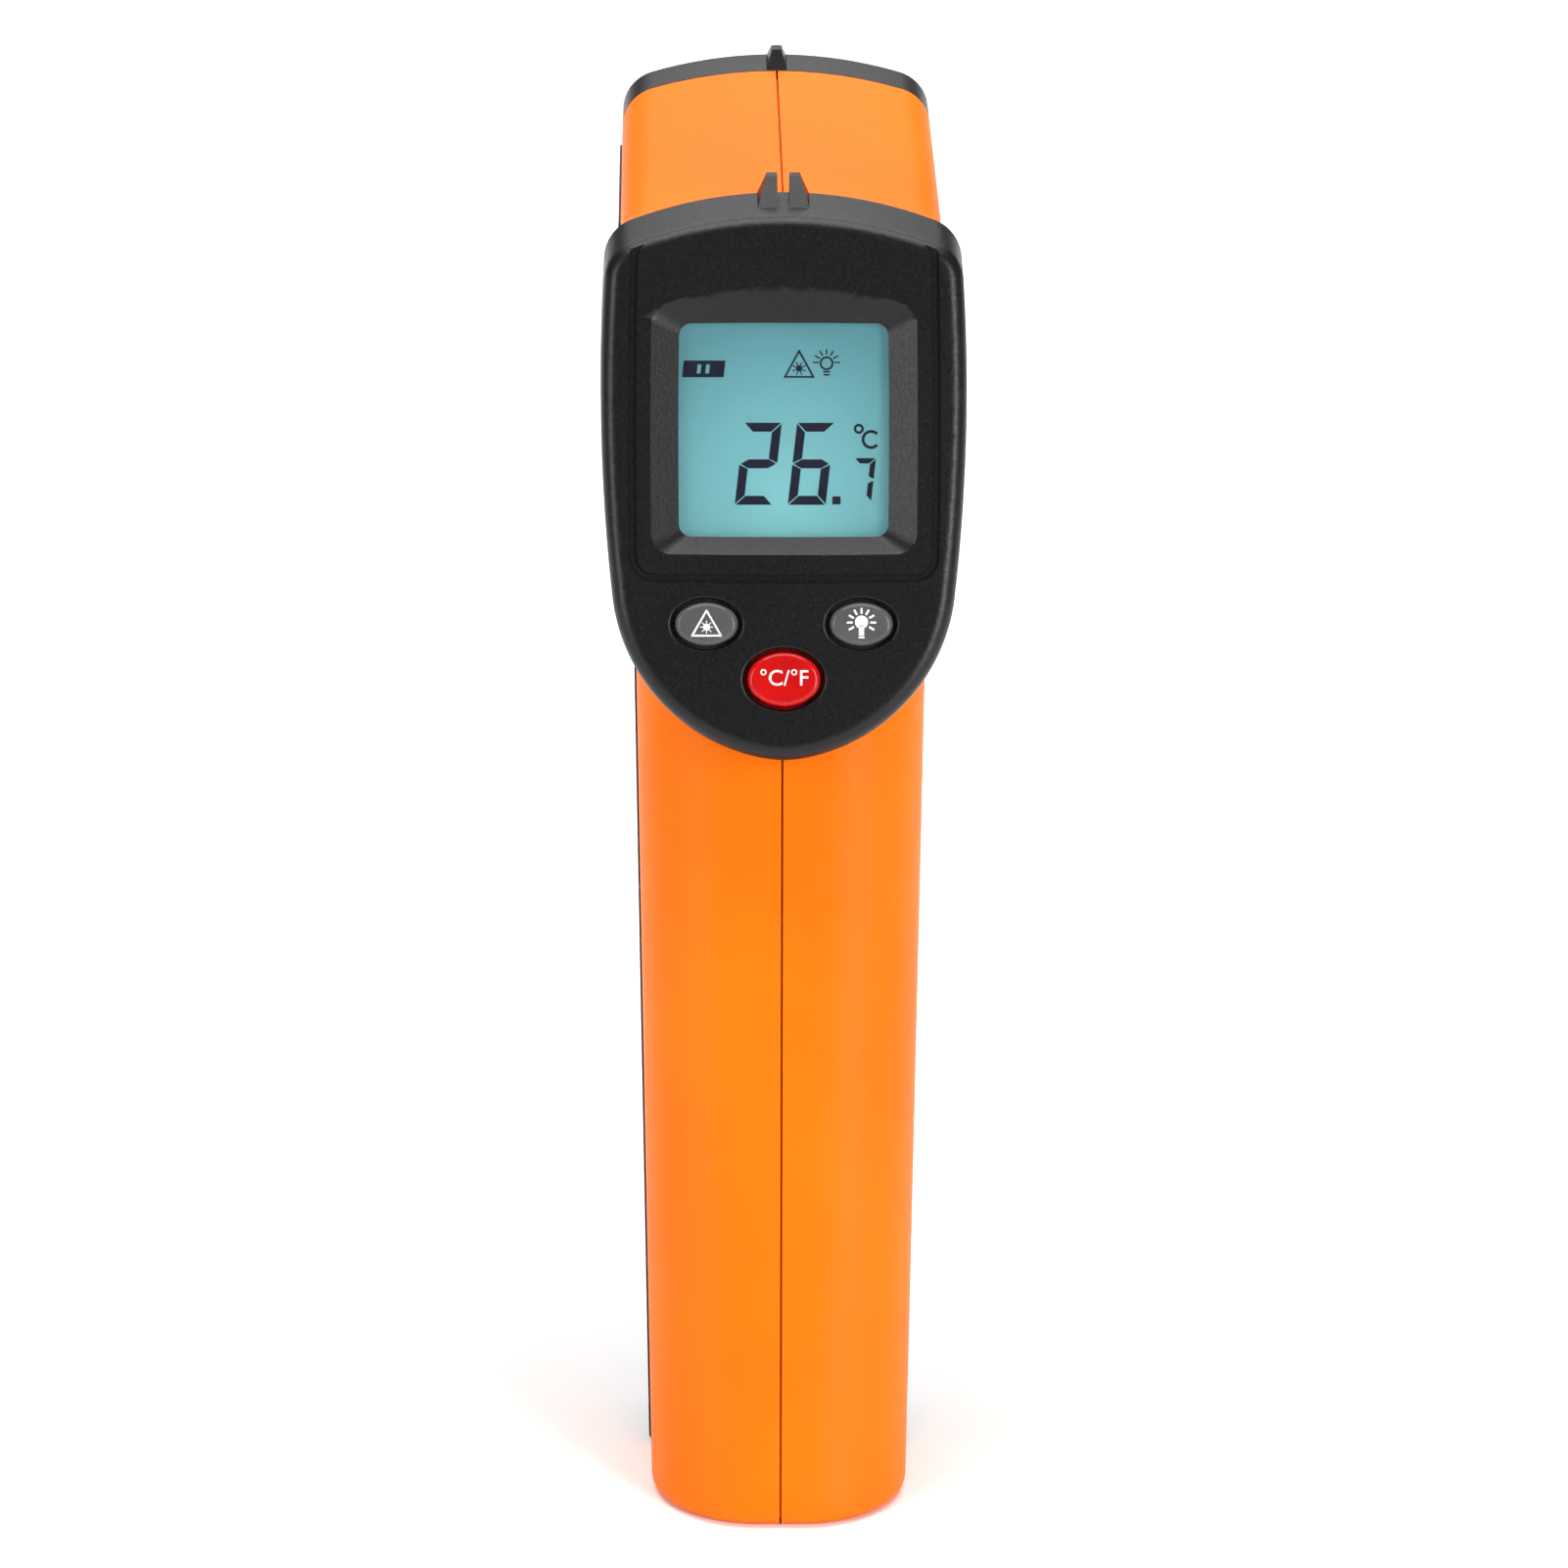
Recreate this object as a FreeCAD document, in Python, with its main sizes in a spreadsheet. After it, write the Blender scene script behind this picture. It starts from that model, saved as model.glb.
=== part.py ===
import FreeCAD, Part
import math
import os
import re

import Sketcher
from FreeCAD import Placement, Rotation, Vector

# A pistol-shaped infrared thermometer. The barrel points along +Y, +X is to the right of the
# person who holds it, +Z is up, and the base of the grip stands on z = 0. Millimetres.

doc = FreeCAD.newDocument("InfraredThermometer")

# ---------------------------------------------------------------------------------------------
# Sizes. Every size that can be set by itself has one cell here.
# ---------------------------------------------------------------------------------------------
SIZES = {
    # gaps and walls
    "wall": 2.0,  # moulded housing wall
    "parting": 0.24,  # open line between the two housing halves
    "seam": 0.16,  # open line between the halves and what closes them
    "fit": 0.15,  # clearance of parts that plug into each other
    "huge": 200.0,  # size of the blocks that only limit other shapes
    # display frame: a plane that leans back, seen by the user
    "face_y": -17.2,
    "face_z": 127.6,
    "tilt": 22.0,
    "band": 9.2,  # depth of the bezel along the barrel
    "face_half": 21.55,
    "face_top": 24.8,
    "face_low": 39.7,
    "face_crown": 51.0,
    "face_corner": 5.0,
    "face_side": 215.0,
    "face_mid": 4.0,
    "face_lower": 22.0,
    "face_bottom": 13.0,
    "face_round": 2.0,
    # head of the housing
    "collar_step": 0.5,  # the housing is this much smaller than the bezel at their seam
    "flare": 4.2,  # length over which the collar narrows to the head
    "neck_half": 19.45,
    "neck_low": 37.6,
    "neck_lower": 20.5,
    "nose_y": 50.5,
    "nose_z": 130.2,
    "nose_half": 18.8,
    "nose_top": 20.0,
    "nose_low": 20.0,
    "nose_crown": 51.0,
    "nose_corner": 5.0,
    "nose_side": 400.0,
    "nose_mid": 0.0,
    "nose_lower": 8.0,
    "nose_bottom": 90.0,
    "cap_y": 43.6,  # seam between the halves and the nose cap
    "cap_edge": 1.2,
    "cap_face": 2.4,
    "plug_thick": 1.2,
    "plug_long": 2.5,
    # grip
    "base_back": 50.5,
    "base_front": 14.0,
    "base_half": 15.2,
    "base_rear_corner": 12.5,
    "base_front_corner": 9.0,
    "base_round": 1.4,
    "waist_z": 46.0,
    "waist_back": 36.8,
    "waist_front": 2.2,
    "waist_half": 16.2,
    "grip_z": 116.0,  # top of the grip's own shape, inside the head
    "top_back": 14.8,
    "top_front": 17.3,
    "top_half": 17.65,
    "grip_y": -32.25,
    "rake": 16.0,
    # black side inlays and the line between the black front and the orange back of the grip
    "inlay_deep": 0.7,
    "inlay_proud": 0.25,
    "inlay_top": 140.6,
    "inlay_round": 2.6,
    "inlay_back_y": 19.0,
    "inlay_knee_y": 8.5,
    "inlay_knee_z": 127.0,
    "inlay_hip_y": 4.5,
    "inlay_hip_z": 108.0,
    "inlay_under_y": 28.0,
    "inlay_under_z": 111.0,
    "inlay_nose_z": 116.0,
    "belt": 6.0,  # how far the parting line of the grip lies in front of the grip's axis
    "door_top": 69.0,
    # sights
    "fin_gap": 1.4,
    "fin_base": 2.5,
    "fin_tip": 1.25,
    "fin_high": 2.5,
    "fin_run": 5.6,
    "nub_base": 2.7,
    "nub_tip": 1.2,
    "nub_high": 2.0,
    "nub_run": 5.6,
    "nub_flat": 1.6,
    "nub_slope": 1.9,
    "fin_flat": 1.4,
    "sink": 0.4,  # how deep the sights' feet reach into what carries them
    # recess and window of the bezel
    "bezel_wall": 1.8,
    "plate": 2.4,
    "recess_half": 15.7,
    "recess_top": 17.2,
    "recess_low": 14.6,
    "recess_corner": 2.4,
    "recess_arch": 44.0,
    "recess_deep": 1.9,
    "opening_half": 12.4,
    "opening_top": 12.7,
    "opening_low": 12.5,
    "opening_corner": 1.5,
    "straight": 900.0,  # radius of edges that look straight
    "groove_half": 18.4,
    "groove_top": 20.0,
    "groove_low": 17.9,
    "groove_corner": 3.0,
    "groove_wide": 1.0,
    "groove_deep": 0.4,
    "frame_margin": 3.0,  # block behind the plate that holds the window
    "window_thick": 1.0,
    "window_margin": 1.4,
    "seat_corner": 0.15,
    "lcd_thick": 1.6,
    "light_thick": 1.6,
    "lcd_margin": 1.9,
    "stack_gap": 0.05,
    "board_thick": 1.4,
    "board_inset": 4.0,
    "zebra_wide": 22.0,
    "zebra_tall": 1.8,
    "buzzer_radius": 4.8,
    "buzzer_high": 3.6,
    "buzzer_x": -9.5,
    "buzzer_y": 9.0,
    "collar_tongue": 1.5,  # how far the halves reach into the bezel
    "collar_tongue_thick": 1.2,
    # keys
    "pair_x": 9.1,
    "pair_low": 22.7,
    "pair_wide": 7.4,
    "pair_tall": 5.1,
    "pair_end": 2.0,
    "unit_low": 29.2,
    "unit_wide": 8.6,
    "unit_tall": 6.4,
    "unit_end": 2.6,
    "key_gap": 0.45,
    "key_rise": 0.5,
    "key_dome": 0.75,
    "key_flange": 0.6,
    "key_lip": 0.6,
    "key_rim": 0.4,
    "key_travel": 0.5,
    "switch_side": 6.0,
    "switch_high": 2.4,
    "plunger_radius": 1.7,
    "running": 0.06,  # clearance of moving fits, on the radius
    # board screws
    "board_screw_radius": 0.8,
    "board_boss_radius": 1.75,
    "board_top_screw": 19.3,
    "board_side_screw": 14.2,
    "board_low_screw": 16.6,
    "board_screw_head": 1.5,
    "board_screw_head_thick": 0.9,
    "board_screw_long": 4.4,
    # optics
    "optic_z": 133.5,
    "aperture_front": 11.4,
    "aperture_back": 8.0,
    "barrel_radius": 9.6,
    "barrel_length": 17.0,
    "lens_radius": 8.2,
    "lens_thick": 1.4,
    "lens_dome": 40.0,
    "lens_ring_wide": 1.1,
    "lens_ring_thick": 1.2,
    "can_radius": 4.1,
    "can_long": 4.2,
    "can_window": 2.4,
    "optic_board_wide": 23.0,
    "optic_board_tall": 24.0,
    "optic_board_thick": 1.2,
    "laser_z": 117.6,
    "laser_radius": 3.0,
    "laser_long": 14.0,
    "laser_window": 1.9,
    "laser_glass": 0.8,
    "laser_lip": 1.2,  # how far the module reaches ahead of its lens
    "tube_wall": 1.3,
    "rib_thick": 1.6,
    "barrel_rib_tall": 26.0,
    "barrel_rib_drop": 12.0,
    "laser_rib_tall": 10.0,
    "laser_rib_drop": 8.0,
    "aperture_deep": 5.0,
    # trigger
    "pivot_y": 7.5,
    "pivot_z": 105.0,
    "trigger_wide": 9.0,
    "trigger_gap": 0.4,
    "trigger_hub": 4.2,
    "trigger_back": 4.5,
    "trigger_reach": 17.2,
    "trigger_drop": 29.4,
    "trigger_tip": 15.2,
    "trigger_tip_drop": 26.8,
    "trigger_round": 1.1,
    "pin_radius": 1.25,
    "pin_half": 12.15,
    "pivot_boss": 3.2,
    "slot_low": 74.0,
    "slot_front": 25.5,
    "switch_z": 91.0,
    "switch_body": 6.2,
    "switch_deep": 6.2,
    "switch_front": 2.4,  # gap between the switch and the back of the trigger
    "switch_plunger": 1.3,
    "switch_plunger_long": 4.95,
    "switch_stroke": 2.0,
    "trigger_board_wide": 12.0,
    "trigger_board_tall": 13.0,
    "trigger_board_thick": 1.2,
    "spring_z": 81.5,
    "spring_radius": 2.4,
    "spring_wire": 0.45,
    "spring_long": 9.0,
    "seat_thick": 1.8,
    "seat_half": 4.0,
    "shelf_deep": 3.4,
    "shelf_thick": 1.5,
    # batteries, AAA
    "cell_radius": 5.25,
    "cell_long": 43.3,
    "nub_radius": 1.9,
    "nub_long": 1.2,
    "cell_x": 5.6,
    "cell_y": 6.6,
    "cell_z": 14.4,  # inner face of the tray's lower end
    "contact_thick": 0.4,
    "contact_wide": 8.4,
    "cell_spring_long": 6.4,
    "cell_spring_radius": 3.4,
    "cell_spring_wire": 0.6,
    "tray_wall": 1.2,
    # door hinge
    "hinge_z": 2.8,
    "hinge_radius": 3.2,
    "hinge_clear": 3.5,
    "hinge_pin": 1.0,
    "knuckle_radius": 2.4,
    "knuckle_in": 3.0,
    "knuckle_out": 9.0,
    "lug_radius": 2.75,
    "lug_under": 1.4,  # how far the lug's arm reaches below the hinge pin
    "lug_in": 9.3,
    "lug_out": 12.6,
    "lug_run": 7.0,
    "lug_clear": 3.3,
    "notch_half": 7.0,
    "notch_radius": 9.0,
    "notch_y": 9.4,
    "notch_z": 58.0,
    # housing screws
    "screw_radius": 1.15,
    "screw_head": 2.2,
    "screw_head_thick": 1.6,
    "screw_seat": 10.0,  # how far right of the middle the screw heads sit
    "screw_long": 14.0,
    "boss_radius": 3.4,
    "heel_screw_y": -34.5,
    "heel_screw_z": 8.2,
    "grip_screw_y": -12.5,
    "grip_screw_z": 80.0,
    "neck_screw_y": 9.0,
    "neck_screw_z": 138.0,
    "chin_screw_y": 33.0,
    "chin_screw_z": 109.0,
    "tongue_deep": 1.1,
    "tongue_thick": 0.9,
    # leads
    "lead_radius": 0.55,
}

sheet = doc.addObject("Spreadsheet::Sheet", "Sizes")
for row, (alias, number) in enumerate(SIZES.items(), start=1):
    sheet.set("A%d" % row, alias)
    sheet.set("B%d" % row, str(number))
    sheet.setAlias("B%d" % row, alias)
probe = doc.addObject("App::FeaturePython", "Probe")
probe.addProperty("App::PropertyFloat", "Reading")
doc.recompute()


# ---------------------------------------------------------------------------------------------
# Helpers
# ---------------------------------------------------------------------------------------------
def spelled(text):
    """An expression in the sheet's own words, spelled the way the document wants it."""
    return re.sub(r"[a-z_]+", lambda m: "Sizes." + m.group() if m.group() in SIZES else m.group(), text)


def bind(thing, name, text):
    thing.setExpression(name, spelled(text))


def read(text):
    """The present value of an expression in the sheet's words."""
    probe.setExpression("Reading", spelled(text))
    probe.recompute()
    return probe.Reading


# Frames: where y and z start, and the turn about X. "barrel" has its own z along the barrel.
FRAMES = {
    "body": ("0", "0", "0"),
    "display": ("face_y", "face_z", "90 - tilt"),
    "grip": ("grip_y", "0", "-rake"),
    "barrel": ("0", "optic_z", "-90"),
}


def stand(thing, frame, x="0", y="0", z="0"):
    """Places a thing at x, y, z of a frame, turned with that frame."""
    start_y, start_z, turn = FRAMES[frame]
    thing.Placement = Placement(Vector(0, 0, 0), Rotation(Vector(1, 0, 0), read(turn)))
    bind(thing, "Placement.Base.x", x)
    bind(thing, "Placement.Base.y", f"{start_y} + ({y}) * cos({turn}) - ({z}) * sin({turn})")
    bind(thing, "Placement.Base.z", f"{start_z} + ({y}) * sin({turn}) + ({z}) * cos({turn})")
    bind(thing, "Placement.Rotation.Angle", f"({turn}) * 1deg")
    return thing


def block(name, frame, wide, deep, tall, x, y, z):
    """A box of given size with its lowest corner at x, y, z of a frame."""
    thing = doc.addObject("Part::Box", name)
    bind(thing, "Length", wide)
    bind(thing, "Width", deep)
    bind(thing, "Height", tall)
    return stand(thing, frame, x, y, z)


def middle_block(name, frame, wide, deep, tall, y, z):
    """A box that is centred on x = 0."""
    return block(name, frame, wide, deep, tall, f"-({wide}) / 2", y, z)


def rod(name, frame, radius, tall, x, y, z):
    """A cylinder along a frame's own z, starting at x, y, z."""
    thing = doc.addObject("Part::Cylinder", name)
    bind(thing, "Radius", radius)
    bind(thing, "Height", tall)
    return stand(thing, frame, x, y, z)


def taper(name, frame, low_radius, high_radius, tall, x, y, z):
    thing = doc.addObject("Part::Cone", name)
    bind(thing, "Radius1", low_radius)
    bind(thing, "Radius2", high_radius)
    bind(thing, "Height", tall)
    return stand(thing, frame, x, y, z)


def crossbar(name, radius, start, length, y, z):
    """A cylinder along X from x = start, at y, z of the body."""
    thing = doc.addObject("Part::Cylinder", name)
    bind(thing, "Radius", radius)
    bind(thing, "Height", length)
    thing.Placement = Placement(Vector(0, 0, 0), Rotation(Vector(0, 1, 0), 90))
    bind(thing, "Placement.Base.x", start)
    bind(thing, "Placement.Base.y", y)
    bind(thing, "Placement.Base.z", z)
    return thing


def fuse(name, *things):
    joined = doc.addObject("Part::MultiFuse", name)
    joined.Shapes = list(things)
    return joined


def common(name, first, second):
    shared = doc.addObject("Part::MultiCommon", name)
    shared.Shapes = [first, second]
    return shared


def cut(name, base, *tools):
    """The base without the tools."""
    result = doc.addObject("Part::Cut", name)
    result.Base = base
    result.Tool = tools[0] if len(tools) == 1 else fuse(name + "_tools", *tools)
    return result


def group(name, *things):
    """Separate solids that share one node."""
    compound = doc.addObject("Part::Compound", name)
    compound.Links = list(things)
    return compound


# ---------------------------------------------------------------------------------------------
# Sketches
# ---------------------------------------------------------------------------------------------
def new_body(name, frame="body"):
    return stand(doc.addObject("PartDesign::Body", name), frame)


def sketch_on(body, name, role, lift="0", slide="0", lean="0"):
    """A sketch parallel to one of the body's origin planes."""
    sketch = body.newObject("Sketcher::SketchObject", name)
    plane = next(f for f in body.Origin.OriginFeatures if f.Role == role)
    sketch.AttachmentSupport = [(plane, "")]
    sketch.MapMode = "FlatFace"
    sketch.AttachmentOffset = Placement(Vector(0, 0, 0), Rotation(Vector(1, 0, 0), read(lean)))
    bind(sketch, "AttachmentOffset.Base.y", slide)
    bind(sketch, "AttachmentOffset.Base.z", lift)
    if lean != "0":
        bind(sketch, "AttachmentOffset.Rotation.Angle", f"({lean}) * 1deg")
    return sketch


def hold(sketch, kind, where, text):
    """A constraint whose value follows the sheet."""
    number = sketch.addConstraint(Sketcher.Constraint(kind, *where, read(text)))
    sketch.setExpression("Constraints[%d]" % number, spelled(text))


def pin_point(sketch, edge, point, x, y):
    """Holds a point of an edge at x, y."""
    if x == "0":
        sketch.addConstraint(Sketcher.Constraint("PointOnObject", edge, point, -2))
    else:
        hold(sketch, "DistanceX", (-1, 1, edge, point), x)
    if y == "0":
        sketch.addConstraint(Sketcher.Constraint("PointOnObject", edge, point, -1))
    else:
        hold(sketch, "DistanceY", (-1, 1, edge, point), y)


def circle(sketch, radius, x="0", y="0"):
    centre = Vector(read(x), read(y), 0)
    edge = sketch.addGeometry(Part.Circle(centre, Vector(0, 0, 1), read(radius)), False)
    hold(sketch, "Radius", (edge,), radius)
    pin_point(sketch, edge, 3, x, y)


def polygon(sketch, corners):
    """A closed outline of straight lines through corners given as pairs of expressions."""
    points = [Vector(read(x), read(y), 0) for x, y in corners]
    first = sketch.GeometryCount
    count = len(points)
    for i in range(count):
        sketch.addGeometry(Part.LineSegment(points[i], points[(i + 1) % count]), False)
    for i in range(count):
        following = first + (i + 1) % count
        sketch.addConstraint(Sketcher.Constraint("Coincident", first + i, 2, following, 1))
    for i, (x, y) in enumerate(corners):
        pin_point(sketch, first + i, 1, x, y)


def add_arc(sketch, centre, radius, start, end):
    """An anticlockwise arc from start to end."""
    first = math.atan2(start.y - centre.y, start.x - centre.x)
    last = math.atan2(end.y - centre.y, end.x - centre.x)
    if last < first:
        last += 2 * math.pi
    full = Part.Circle(centre, Vector(0, 0, 1), radius)
    return sketch.addGeometry(Part.ArcOfCircle(full, first, last), False)


def centre_between(one, one_reach, two, two_reach):
    """Both points at the given distances from two centres."""
    line = two - one
    gap = line.Length
    along = (one_reach**2 - two_reach**2 + gap**2) / (2 * gap)
    off = math.sqrt(one_reach**2 - along**2)
    step = line / gap
    foot = one + step * along
    across = Vector(-step.y, step.x, 0) * off
    return foot + across, foot - across


def touching(centre, radius, other, other_radius):
    """Where a circle touches another that lies inside it, or that it lies inside."""
    step = (other - centre).normalize()
    return centre + step * radius if other_radius < radius else centre - step * radius


def mirrored(point):
    return Vector(-point.x, point.y, 0)


def outline(sketch, form, inset="0"):
    """A rounded shield of eight tangent arcs, the same left and right, drawn inside by inset."""
    size = {name: read(text) for name, text in form.items()}
    less = read(inset)
    crown, corner, side, lower, bottom = (
        size[name] - less for name in ("crown", "corner", "side", "lower", "bottom")
    )
    crown_centre = Vector(0, size["top"] - size["crown"], 0)
    bottom_centre = Vector(0, size["bottom"] - size["low"], 0)
    side_centre = Vector(size["half"] - size["side"], size["mid"], 0)
    corners = centre_between(crown_centre, crown - corner, side_centre, side - corner)
    corner_centre = max(corners, key=lambda p: p.x + p.y)
    lowers = centre_between(bottom_centre, abs(bottom - lower), side_centre, side - lower)
    found = []
    for centre in lowers:
        at_bottom = touching(bottom_centre, bottom, centre, lower)
        at_side = touching(side_centre, side, centre, lower)
        if at_bottom.x > 0 and at_bottom.y <= at_side.y:
            found.append((centre, at_bottom, at_side))
    lower_centre, at_bottom, at_side = min(found, key=lambda item: item[1].y)
    at_crown = touching(crown_centre, crown, corner_centre, corner)
    at_corner = touching(side_centre, side, corner_centre, corner)
    joints = [at_side, at_corner, at_crown, mirrored(at_crown), mirrored(at_corner)]
    joints += [mirrored(at_side), mirrored(at_bottom), at_bottom]
    arcs = [(side_centre, side), (corner_centre, corner), (crown_centre, crown)]
    arcs += [(mirrored(corner_centre), corner), (mirrored(side_centre), side)]
    arcs += [(mirrored(lower_centre), lower), (bottom_centre, bottom), (lower_centre, lower)]
    base = sketch.GeometryCount
    for i, (centre, radius) in enumerate(arcs):
        add_arc(sketch, centre, radius, joints[i], joints[(i + 1) % 8])
    for i in range(8):
        following = base + (i + 1) % 8
        sketch.addConstraint(Sketcher.Constraint("Tangent", base + i, 2, following, 1))
    for left, right in ((4, 0), (3, 1), (5, 7)):
        sketch.addConstraint(Sketcher.Constraint("Equal", base + left, base + right))
    hold(sketch, "Radius", (base,), f"{form['side']} - ({inset})")
    hold(sketch, "Radius", (base + 1,), f"{form['corner']} - ({inset})")
    hold(sketch, "Radius", (base + 2,), f"{form['crown']} - ({inset})")
    hold(sketch, "Radius", (base + 6,), f"{form['bottom']} - ({inset})")
    hold(sketch, "Radius", (base + 7,), f"{form['lower']} - ({inset})")
    pin_point(sketch, base + 2, 3, "0", f"{form['top']} - {form['crown']}")
    pin_point(sketch, base + 6, 3, "0", f"{form['bottom']} - {form['low']}")
    pin_point(sketch, base, 3, f"{form['half']} - {form['side']}", form["mid"])
    sketch.addConstraint(Sketcher.Constraint("Symmetric", base, 3, base + 4, 3, -2))


def form_of(prefix, **others):
    """The names of a shield's sizes in the sheet."""
    words = ("half", "top", "low", "crown", "corner", "side", "mid", "lower", "bottom")
    form = {word: f"{prefix}_{word}" for word in words}
    form.update(others)
    return form


def oval(sketch, wide, tall, end, x="0", y="0"):
    """An oval of four tangent arcs: small ends, flat sides."""
    reach = f"(({wide}) / 2 - ({end}))"
    rise = f"(({tall}) / 2)"
    flank = f"(({reach} ^ 2 + {rise} ^ 2 - ({end}) ^ 2) / (2 * ({rise} - ({end}))))"
    middle = Vector(read(x), read(y), 0)
    end_radius = read(end)
    flank_radius = read(flank)
    centres = [
        (middle + Vector(read(reach), 0, 0), end_radius),
        (middle - Vector(0, flank_radius - read(rise), 0), flank_radius),
        (middle - Vector(read(reach), 0, 0), end_radius),
        (middle + Vector(0, flank_radius - read(rise), 0), flank_radius),
    ]
    joints = []
    for i in range(4):
        pair = [i, (i + 3) % 4]
        end_centre, flank_centre = (centres[n][0] for n in sorted(pair, key=lambda n: n % 2))
        joints.append(touching(flank_centre, flank_radius, end_centre, end_radius))
    base = sketch.GeometryCount
    for i, (centre, radius) in enumerate(centres):
        add_arc(sketch, centre, radius, joints[i], joints[(i + 1) % 4])
    for i in range(4):
        following = base + (i + 1) % 4
        sketch.addConstraint(Sketcher.Constraint("Tangent", base + i, 2, following, 1))
    sketch.addConstraint(Sketcher.Constraint("Equal", base, base + 2))
    sketch.addConstraint(Sketcher.Constraint("Equal", base + 1, base + 3))
    hold(sketch, "Radius", (base,), end)
    hold(sketch, "Radius", (base + 1,), flank)
    pin_point(sketch, base, 3, f"{x} + {reach}", y)
    pin_point(sketch, base + 2, 3, f"{x} - {reach}", y)


def rounded(sketch, half, low, high, low_corner, high_corner):
    """A rectangle that is symmetric in x, with one corner radius below and one above."""
    x, y0, y1 = read(half), read(low), read(high)
    r0, r1 = read(low_corner), read(high_corner)
    joints = [
        Vector(x, y0 + r0, 0),
        Vector(x, y1 - r1, 0),
        Vector(x - r1, y1, 0),
        Vector(r1 - x, y1, 0),
        Vector(-x, y1 - r1, 0),
        Vector(-x, y0 + r0, 0),
        Vector(r0 - x, y0, 0),
        Vector(x - r0, y0, 0),
    ]
    centres = [Vector(x - r1, y1 - r1, 0), Vector(r1 - x, y1 - r1, 0)]
    centres += [Vector(r0 - x, y0 + r0, 0), Vector(x - r0, y0 + r0, 0)]
    radii = [r1, r1, r0, r0]
    base = sketch.GeometryCount
    for i in range(4):
        sketch.addGeometry(Part.LineSegment(joints[2 * i], joints[2 * i + 1]), False)
        add_arc(sketch, centres[i], radii[i], joints[2 * i + 1], joints[(2 * i + 2) % 8])
    for i in range(8):
        following = base + (i + 1) % 8
        sketch.addConstraint(Sketcher.Constraint("Tangent", base + i, 2, following, 1))
    for flat in (2, 6):
        sketch.addConstraint(Sketcher.Constraint("Horizontal", base + flat))
    for upright in (0, 4):
        sketch.addConstraint(Sketcher.Constraint("Vertical", base + upright))
    sketch.addConstraint(Sketcher.Constraint("Equal", base + 1, base + 3))
    sketch.addConstraint(Sketcher.Constraint("Equal", base + 5, base + 7))
    hold(sketch, "Radius", (base + 1,), high_corner)
    hold(sketch, "Radius", (base + 7,), low_corner)
    hold(sketch, "DistanceX", (-1, 1, base, 1), half)
    hold(sketch, "DistanceX", (-1, 1, base + 4, 1), f"-({half})")
    hold(sketch, "DistanceY", (-1, 1, base + 2, 1), high)
    hold(sketch, "DistanceY", (-1, 1, base + 6, 1), low)


# ---------------------------------------------------------------------------------------------
# Features
# ---------------------------------------------------------------------------------------------
def pad(body, sketch, length, reverse=False, middle=False):
    feature = body.newObject("PartDesign::Pad", sketch.Name + "_pad")
    feature.Profile = sketch
    feature.Reversed = reverse
    feature.Midplane = middle
    bind(feature, "Length", length)
    return feature


def pocket(body, sketch, length, reverse=False):
    """Cuts the sketch out, and stops if nothing was cut."""
    doc.recompute()
    before = body.Shape.Volume
    feature = body.newObject("PartDesign::Pocket", sketch.Name + "_pocket")
    feature.Profile = sketch
    feature.Reversed = reverse
    bind(feature, "Length", length)
    doc.recompute()
    if not body.Shape.Volume < before - 1e-6:
        raise RuntimeError(f"{sketch.Name} cuts nothing")
    return feature


def loft(body, sketches, ruled=True, cutting=False):
    kind = "SubtractiveLoft" if cutting else "AdditiveLoft"
    feature = body.newObject("PartDesign::" + kind, sketches[0].Name + "_loft")
    feature.Profile = sketches[0]
    feature.Sections = sketches[1:]
    feature.Ruled = ruled
    return feature


def round_edges(body, radius, wanted, kind="Fillet"):
    """Rounds the edges of the body's last feature that the test accepts."""
    doc.recompute()
    base = body.Tip
    names = [f"Edge{i}" for i, edge in enumerate(base.Shape.Edges, start=1) if wanted(edge)]
    if not names:
        raise RuntimeError(f"{body.Name} has no edge to round")
    feature = body.newObject("PartDesign::" + kind, f"{body.Name}_{kind}_{len(body.Group)}")
    feature.Base = (base, names)
    bind(feature, "Radius" if kind == "Fillet" else "Size", radius)
    doc.recompute()
    return feature


# ---------------------------------------------------------------------------------------------
# Outer forms: the head and the grip, drawn smaller or larger by an inset
# ---------------------------------------------------------------------------------------------
FACE = form_of("face")
NECK = form_of(
    "neck",
    top="face_top - collar_step",
    crown="face_crown",
    corner="face_corner",
    side="face_side",
    mid="face_mid",
    bottom="face_bottom",
)
NOSE = form_of("nose")


def head_form(name, inset):
    """The head: a collar behind the bezel that flares into the neck, and the barrel to the nose."""
    body = new_body(name)
    collar = sketch_on(body, name + "_collar", "XZ_Plane", "-(face_y + band)", "face_z", "-tilt")
    outline(collar, FACE, f"collar_step + ({inset})")
    neck = sketch_on(body, name + "_neck", "XZ_Plane", "-(face_y + band + flare)", "face_z", "-tilt")
    outline(neck, NECK, inset)
    nose = sketch_on(body, name + "_nose", "XZ_Plane", "-nose_y", "nose_z")
    outline(nose, NOSE, inset)
    loft(body, [collar, neck, nose])
    return body


def grip_form(name, inset, floor):
    """The grip: a raked handle whose base stands on z = 0, hollow down to the floor."""
    body = new_body(name)
    rear = f"base_rear_corner - ({inset})"
    front = f"base_front_corner - ({inset})"
    levels = [
        ("base", floor, "base_half", "-base_back", "-base_front"),
        ("waist", "waist_z", "waist_half", "-waist_back", "-waist_front"),
        ("top", "grip_z", "top_half", "-top_back", "top_front"),
    ]
    sections = []
    for word, lift, half, back, ahead in levels:
        section = sketch_on(body, f"{name}_{word}", "XY_Plane", lift)
        rounded(section, f"{half} - ({inset})", f"{back} + ({inset})", f"{ahead} - ({inset})", rear, front)
        sections.append(section)
    loft(body, sections, ruled=False)
    return body


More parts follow.
